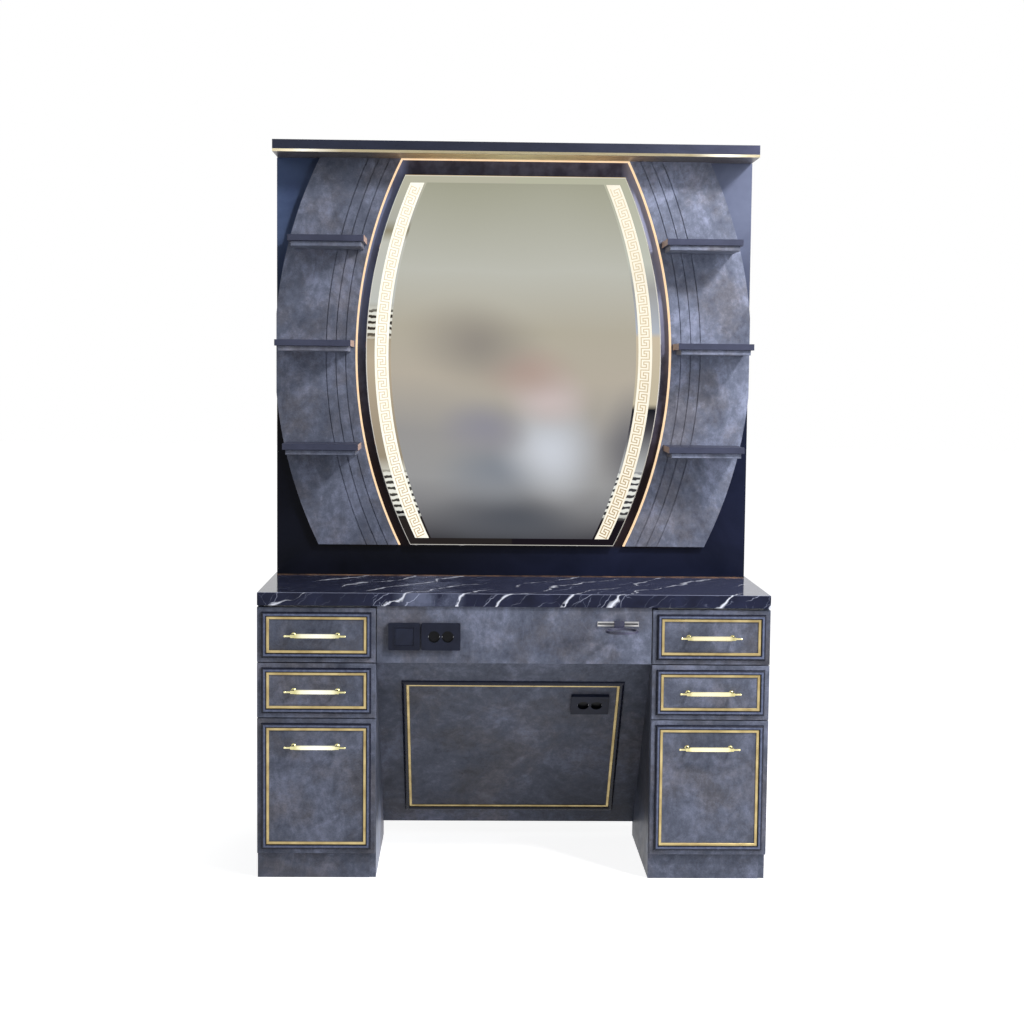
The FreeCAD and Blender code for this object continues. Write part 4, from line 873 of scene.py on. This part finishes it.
def add_lit_bands():
    """The clear bands down both sides of the mirror, lit from behind, and their key pattern."""
    face = GLASS_FACE - BAND_PROUD
    levels = [BAND_LOW + (BAND_HIGH - BAND_LOW) * step / BAND_STEPS
              for step in range(BAND_STEPS + 1)]
    finishes = (
        (glow("left_lit_band", srgb(255, 251, 232), srgb(255, 254, 246), (0.1, 0.095, 0.075)),
         key_glass("left_key_line", LEFT_KEY)),
        (glow("right_lit_band", srgb(250, 241, 220), srgb(254, 248, 232), (0.05, 0.047, 0.04)),
         key_glass("right_key_line", RIGHT_KEY)))
    for (side, sign), (band_finish, key_finish) in zip(SIDES, finishes):
        near_middle = [(sign * band_x(BAND_INNER, z), z) for z in levels]
        near_edge = [(sign * band_x(BAND_OUTER, z), z) for z in levels]
        add_piece(f"{side}_lit_band",
                  lambda bm: slab(bm, near_middle, near_edge, face, GLASS_FACE),
                  band_finish)
        left, right = key_points(sign)
        add_piece(f"{side}_key_pattern",
                  lambda bm: slab(bm, left, right, face - KEY_PROUD, face),
                  key_finish)


# ---------------------------------------------------------------- small fittings

def socket_places():
    """Each double socket's name, and the turn and place of its face."""
    upright = Matrix.Translation(APRON_SOCKET)
    down_slant = Vector((SLANT_SOCKET_X,
                         SLANT_TOP_Y + SLANT_DROP * math.sin(SLANT_ANGLE),
                         SLANT_TOP_Z - SLANT_DROP * math.cos(SLANT_ANGLE)))
    tilted = Matrix.Translation(down_slant) @ Matrix.Rotation(SLANT_ANGLE, 4, "X")
    return (("apron_socket", upright), ("low_socket", tilted))


def pin_holes(bm, turn):
    """Two dark discs on the floor of each well, which paint the shade in the pin holes."""
    for well in WELLS:
        for pin in (-PIN_PITCH / 2, PIN_PITCH / 2):
            round_bar(bm, turn, (well, WELL_FLOOR - PIN_DEPTH / 2, pin), PIN_RADIUS, PIN_DEPTH)


def earth_clips(bm, turn):
    """Two springs on the wall of each well."""
    for well in WELLS:
        for sign in (-1, 1):
            outer = well + sign * WELL_RADIUS
            inner = outer - sign * CLIP_THICKNESS
            plain_bar(bm, turn,
                      (min(outer, inner), WELL_FLOOR - CLIP_HEIGHT, -CLIP_WIDTH / 2),
                      (max(outer, inner), WELL_FLOOR, CLIP_WIDTH / 2))


def add_socket_contacts(black, steel):
    for name, turn in socket_places():
        add_piece(f"{name}_pin_holes", lambda bm: pin_holes(bm, turn), black)
        add_piece(f"{name}_earth_clips", lambda bm: earth_clips(bm, turn), steel)


def rail_groove(bm):
    """The dark groove along the dryer holder's rail."""
    plain_bar(bm, Matrix.Identity(4), RAIL_MIDDLE - RAIL_INSERT, RAIL_MIDDLE + RAIL_INSERT)


def bezel(bm):
    """The square frame round the switch's rocker."""
    turn = Matrix.Translation(SWITCH_MIDDLE)
    outer = BEZEL_INSIDE + BEZEL_WIDTH
    for sign in (-1, 1):
        near, far = sorted((sign * BEZEL_INSIDE, sign * outer))
        plain_bar(bm, turn, (near, -BEZEL_PROUD, -outer), (far, 0, outer))
        plain_bar(bm, turn, (-BEZEL_INSIDE, -BEZEL_PROUD, near), (BEZEL_INSIDE, 0, far))


def foot_bead(bm):
    """The thin bead where the hutch meets the counter, in a copper tone that paints the warm
    highlight along that joint.
    """
    plain_bar(bm, Matrix.Identity(4), (HUTCH_LOW.x, HUTCH_LOW.y - BEAD_SIZE, HUTCH_LOW.z),
              (HUTCH_HIGH.x, HUTCH_LOW.y, HUTCH_LOW.z + BEAD_SIZE))


def handle_turnings(bm, drawer):
    """A stepped rosette under each post of a drawer's handle and a ball on each tip."""
    low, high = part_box(f"{drawer}_handle")
    middle_x, middle_z = (low.x + high.x) / 2, (low.z + high.z) / 2
    for sign in (-1, 1):
        for radius, height in ROSETTE_RINGS:
            round_bar(bm, Matrix.Identity(4),
                      (middle_x + sign * HANDLE_PITCH / 2, HANDLE_FOOT - height / 2, middle_z),
                      radius, height)
        place = Matrix.Translation((middle_x + sign * HANDLE_LENGTH / 2, low.y + TIP_INSET,
                                    middle_z))
        bmesh.ops.create_uvsphere(bm, u_segments=16, v_segments=10, radius=TIP_RADIUS,
                                  matrix=place)


def add_handle_turnings(brass):
    for drawer in DRAWERS:
        add_piece(f"{drawer}_handle_turnings", lambda bm: handle_turnings(bm, drawer), brass,
                  body=drawer, smooth=True)


# ---------------------------------------------------------------- finishes of the CAD nodes

def of_drawers(part):
    return [f"{drawer}_{part}" for drawer in DRAWERS]


def cabinet_finishes():
    """The pedestals, the knee space, the counter and all plain boards. The laminate's copies
    differ in lightness to paint the light and shade each part gets.
    """
    return {
        stone_laminate("grey_stone_laminate_fronts", 0.85): [
            "left_outer_side", "right_outer_side", "plinth_boards", *of_drawers("front")],
        stone_laminate("grey_stone_laminate", 1.0): ["apron"],
        # Painted shade for the slanted panel, lighter towards the floor and darker at its right
        # end.
        stone_laminate("grey_stone_laminate_panel", 0.76, foot=(0.05, 0.12, 1.7),
                       right=0.7): ["modesty_panel"],
        # Painted shade deep in the knee space, with lit front edges and painted light towards the
        # floor.
        stone_laminate("grey_stone_laminate_inner", 0.46, front=0.85, foot=(0.08, 0.22, 3.6),
                       right=0.6): ["left_inner_side", "right_inner_side"],
        marble(): ["counter_top"],
        satin_profile(): ["modesty_moulding", *of_drawers("moulding")],
        metal("gold_trim", (162, 142, 98), (200, 181, 132), 0.26, 0.4,
              brush=(0.05, 1, 0.05)): ["modesty_trim", *of_drawers("trim")],
        white_board(): ["carcass_cross_boards", "cabinet_backs", "hutch_back_panel",
                        "mirror_carrier_board", *of_drawers("box")],
    }


def hutch_finishes():
    """The hutch with its side panels, shelves, cornice, lights and mirror. The laminate's copies
    differ in lightness to paint the light each part gets.
    """
    return {
        # The same laminate, painted dimmer on the left and painted lit on the right, where light
        # falls from.
        stone_laminate("grey_stone_laminate_left_decor", 0.97): ["left_decor_panel"],
        stone_laminate("grey_stone_laminate_right_decor", 1.27): ["right_decor_panel"],
        stone_laminate("grey_stone_laminate_battens", 1.18): ["shelf_battens"],
        gloss_panel(): ["hutch_face_panel", "hutch_frame"],
        satin_panel(): ["shelf_tops"],
        cornice_foil(): ["cornice_boards"],
        cornice_gold(): ["cornice_gold_strip"],
        glow("light_diffuser", (1.0, 0.68, 0.4), (1.0, 0.76, 0.5), (0.12, 0.08, 0.05)): [
            "led_light_profiles"],
        mirror_glass(): ["mirror_glass_panel"],
    }


def fitting_finishes(black, steel, brass):
    """The handles, runners, switch, sockets and dryer holder."""
    return {
        brass: of_drawers("handle"),
        steel: ["cabinet_runners"],
        black: ["socket_outlets", "switch_plate"],
        plastic("black_plastic_rocker", (24, 28, 44), (31, 36, 54), 0.3, 0.16): [
            "switch_rocker"],
        plastic("dark_metal", (40, 42, 62), (62, 62, 88), 0.3, 0.6): ["dryer_ring"],
        metal("aluminium_rail", (176, 176, 178), (208, 206, 204), 0.28, 0.42,
              brush=(0.05, 1, 1)): ["dryer_holder_rail"],
    }


def dress(finishes):
    for finish, names in finishes.items():
        for name in names:
            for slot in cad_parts[name].material_slots:
                slot.material = finish


def add_station():
    """Finish every CAD node and add the pieces that only the scene has."""
    black = plastic("black_plastic", (19, 22, 36), (27, 31, 47), 0.36, 0.16, wells=True)
    steel = metal("steel", (168, 170, 174), (196, 198, 202), 0.3, 0.45, brush=(1, 0.05, 1))
    brass = handle_brass()
    # A copper tone that paints the warm highlight along the hutch's foot.
    joint_highlight_metal = metal("foot_bead", (52, 44, 44), (150, 116, 88), 0.3, 0.45)
    dress(cabinet_finishes())
    dress(hutch_finishes())
    dress(fitting_finishes(black, steel, brass))
    add_lit_bands()
    add_socket_contacts(black, steel)
    add_piece("dryer_rail_groove", rail_groove, black)
    add_piece("switch_bezel", bezel, black)
    add_piece("hutch_foot_bead", foot_bead, joint_highlight_metal)
    add_handle_turnings(brass)


# ---------------------------------------------------------------- studio

AMBIENT = 0.12
AMBIENT_COLOUR = (0.93, 0.96, 1.0, 1.0)
BACKDROP = (1.0, 1.0, 1.0, 1.0)
FLOOR_HALF = 30.0
FLOOR_DROP = 0.5 * MM  # keeps the floor clear of the station's feet
FLOOR_GLOW = 0.88  # share of the floor that stays white in the object's shadow
FLOOR_GREY = 0.5
FLOOR_NEAR = (0.75, 1.2)  # the floor turns plain white between these distances
COOL = (0.94, 0.97, 1.0)
LAMPS = (  # name, place, target, size, power, colour
    ("key", (1.75, -1.6, 3.2), (0.5, 0.2, 1.6), 0.36, 89.0, (1.0, 0.99, 0.97)),
    ("left", (-1.7, -2.4, 2.7), (-0.3, 0.2, 1.5), 0.6, 11.5, COOL),
    ("side", (4.2, -2.4, 2.4), (0.2, 0.1, 1.1), 3.4, 210.0, COOL),
)


def seen_directly(tree):
    """1 for what the camera, a mirror or glass sees, and 0 for light on the object."""
    path = tree.add("LightPath").node.outputs
    seen = tree.math("MAXIMUM", path["Is Camera Ray"], path["Is Glossy Ray"])
    return tree.math("MAXIMUM", seen, path["Is Transmission Ray"])


def add_world():
    """Soft, dim light all round, in front of a white backdrop."""
    tree = Tree("studio", "worlds")
    soft = tree.nodes["Background"]
    soft.inputs["Color"].default_value = AMBIENT_COLOUR
    soft.inputs["Strength"].default_value = AMBIENT
    white = tree.add("Background", inputs={"Color": BACKDROP})
    choice = tree.add("MixShader", inputs={
        0: seen_directly(tree), 1: soft.outputs[0], 2: white})
    tree.feed(tree.nodes["World Output"].inputs["Surface"], choice)
    bpy.context.scene.world = tree.owner


def add_floor():
    """A pale floor that blends into the backdrop and keeps the object's soft shadow."""
    tree = Tree("floor")
    tree.set(Base_Color=(0.85, 0.85, 0.85, 1.0), Roughness=0.9, Specular_IOR_Level=0.0)
    away = tree.add("VectorMath", "Value", operation="LENGTH", inputs={
        0: tree.add("TexCoord", "Object")})
    white = tree.add("Emission", inputs={
        "Strength": tree.span(away, *FLOOR_NEAR, FLOOR_GLOW, 1.0, smooth=True)})
    pale = tree.add("BsdfDiffuse", inputs={"Color": (FLOOR_GREY, FLOOR_GREY, FLOOR_GREY, 1.0)})
    lit = tree.add("AddShader", inputs={0: white, 1: pale})
    choice = tree.add("MixShader", inputs={
        0: seen_directly(tree), 1: tree.shader.outputs[0], 2: lit})
    tree.feed(tree.nodes["Material Output"].inputs["Surface"], choice)
    bm = bmesh.new()
    bmesh.ops.create_grid(bm, x_segments=1, y_segments=1, size=FLOOR_HALF)
    mesh = bpy.data.meshes.new("floor")
    bm.to_mesh(mesh)
    bm.free()
    mesh.materials.append(tree.owner)
    floor = bpy.data.objects.new("floor", mesh)
    floor.location.z = -FLOOR_DROP
    bpy.context.scene.collection.objects.link(floor)


def add_lamp(name, place, target, size, power, colour):
    """A square area lamp aimed at a point."""
    data = bpy.data.lights.new(name, "AREA")
    data.size = size
    data.energy = power
    data.color = colour
    lamp = bpy.data.objects.new(name, data)
    lamp.location = place
    lamp.rotation_euler = (Vector(target) - Vector(place)).to_track_quat("-Z", "Y").to_euler()
    bpy.context.scene.collection.objects.link(lamp)


# ---------------------------------------------------------------- make it

add_camera()
add_station()
add_world()
add_floor()
for lamp in LAMPS:
    add_lamp(*lamp)
bpy.context.scene.view_settings.view_transform = "Standard"
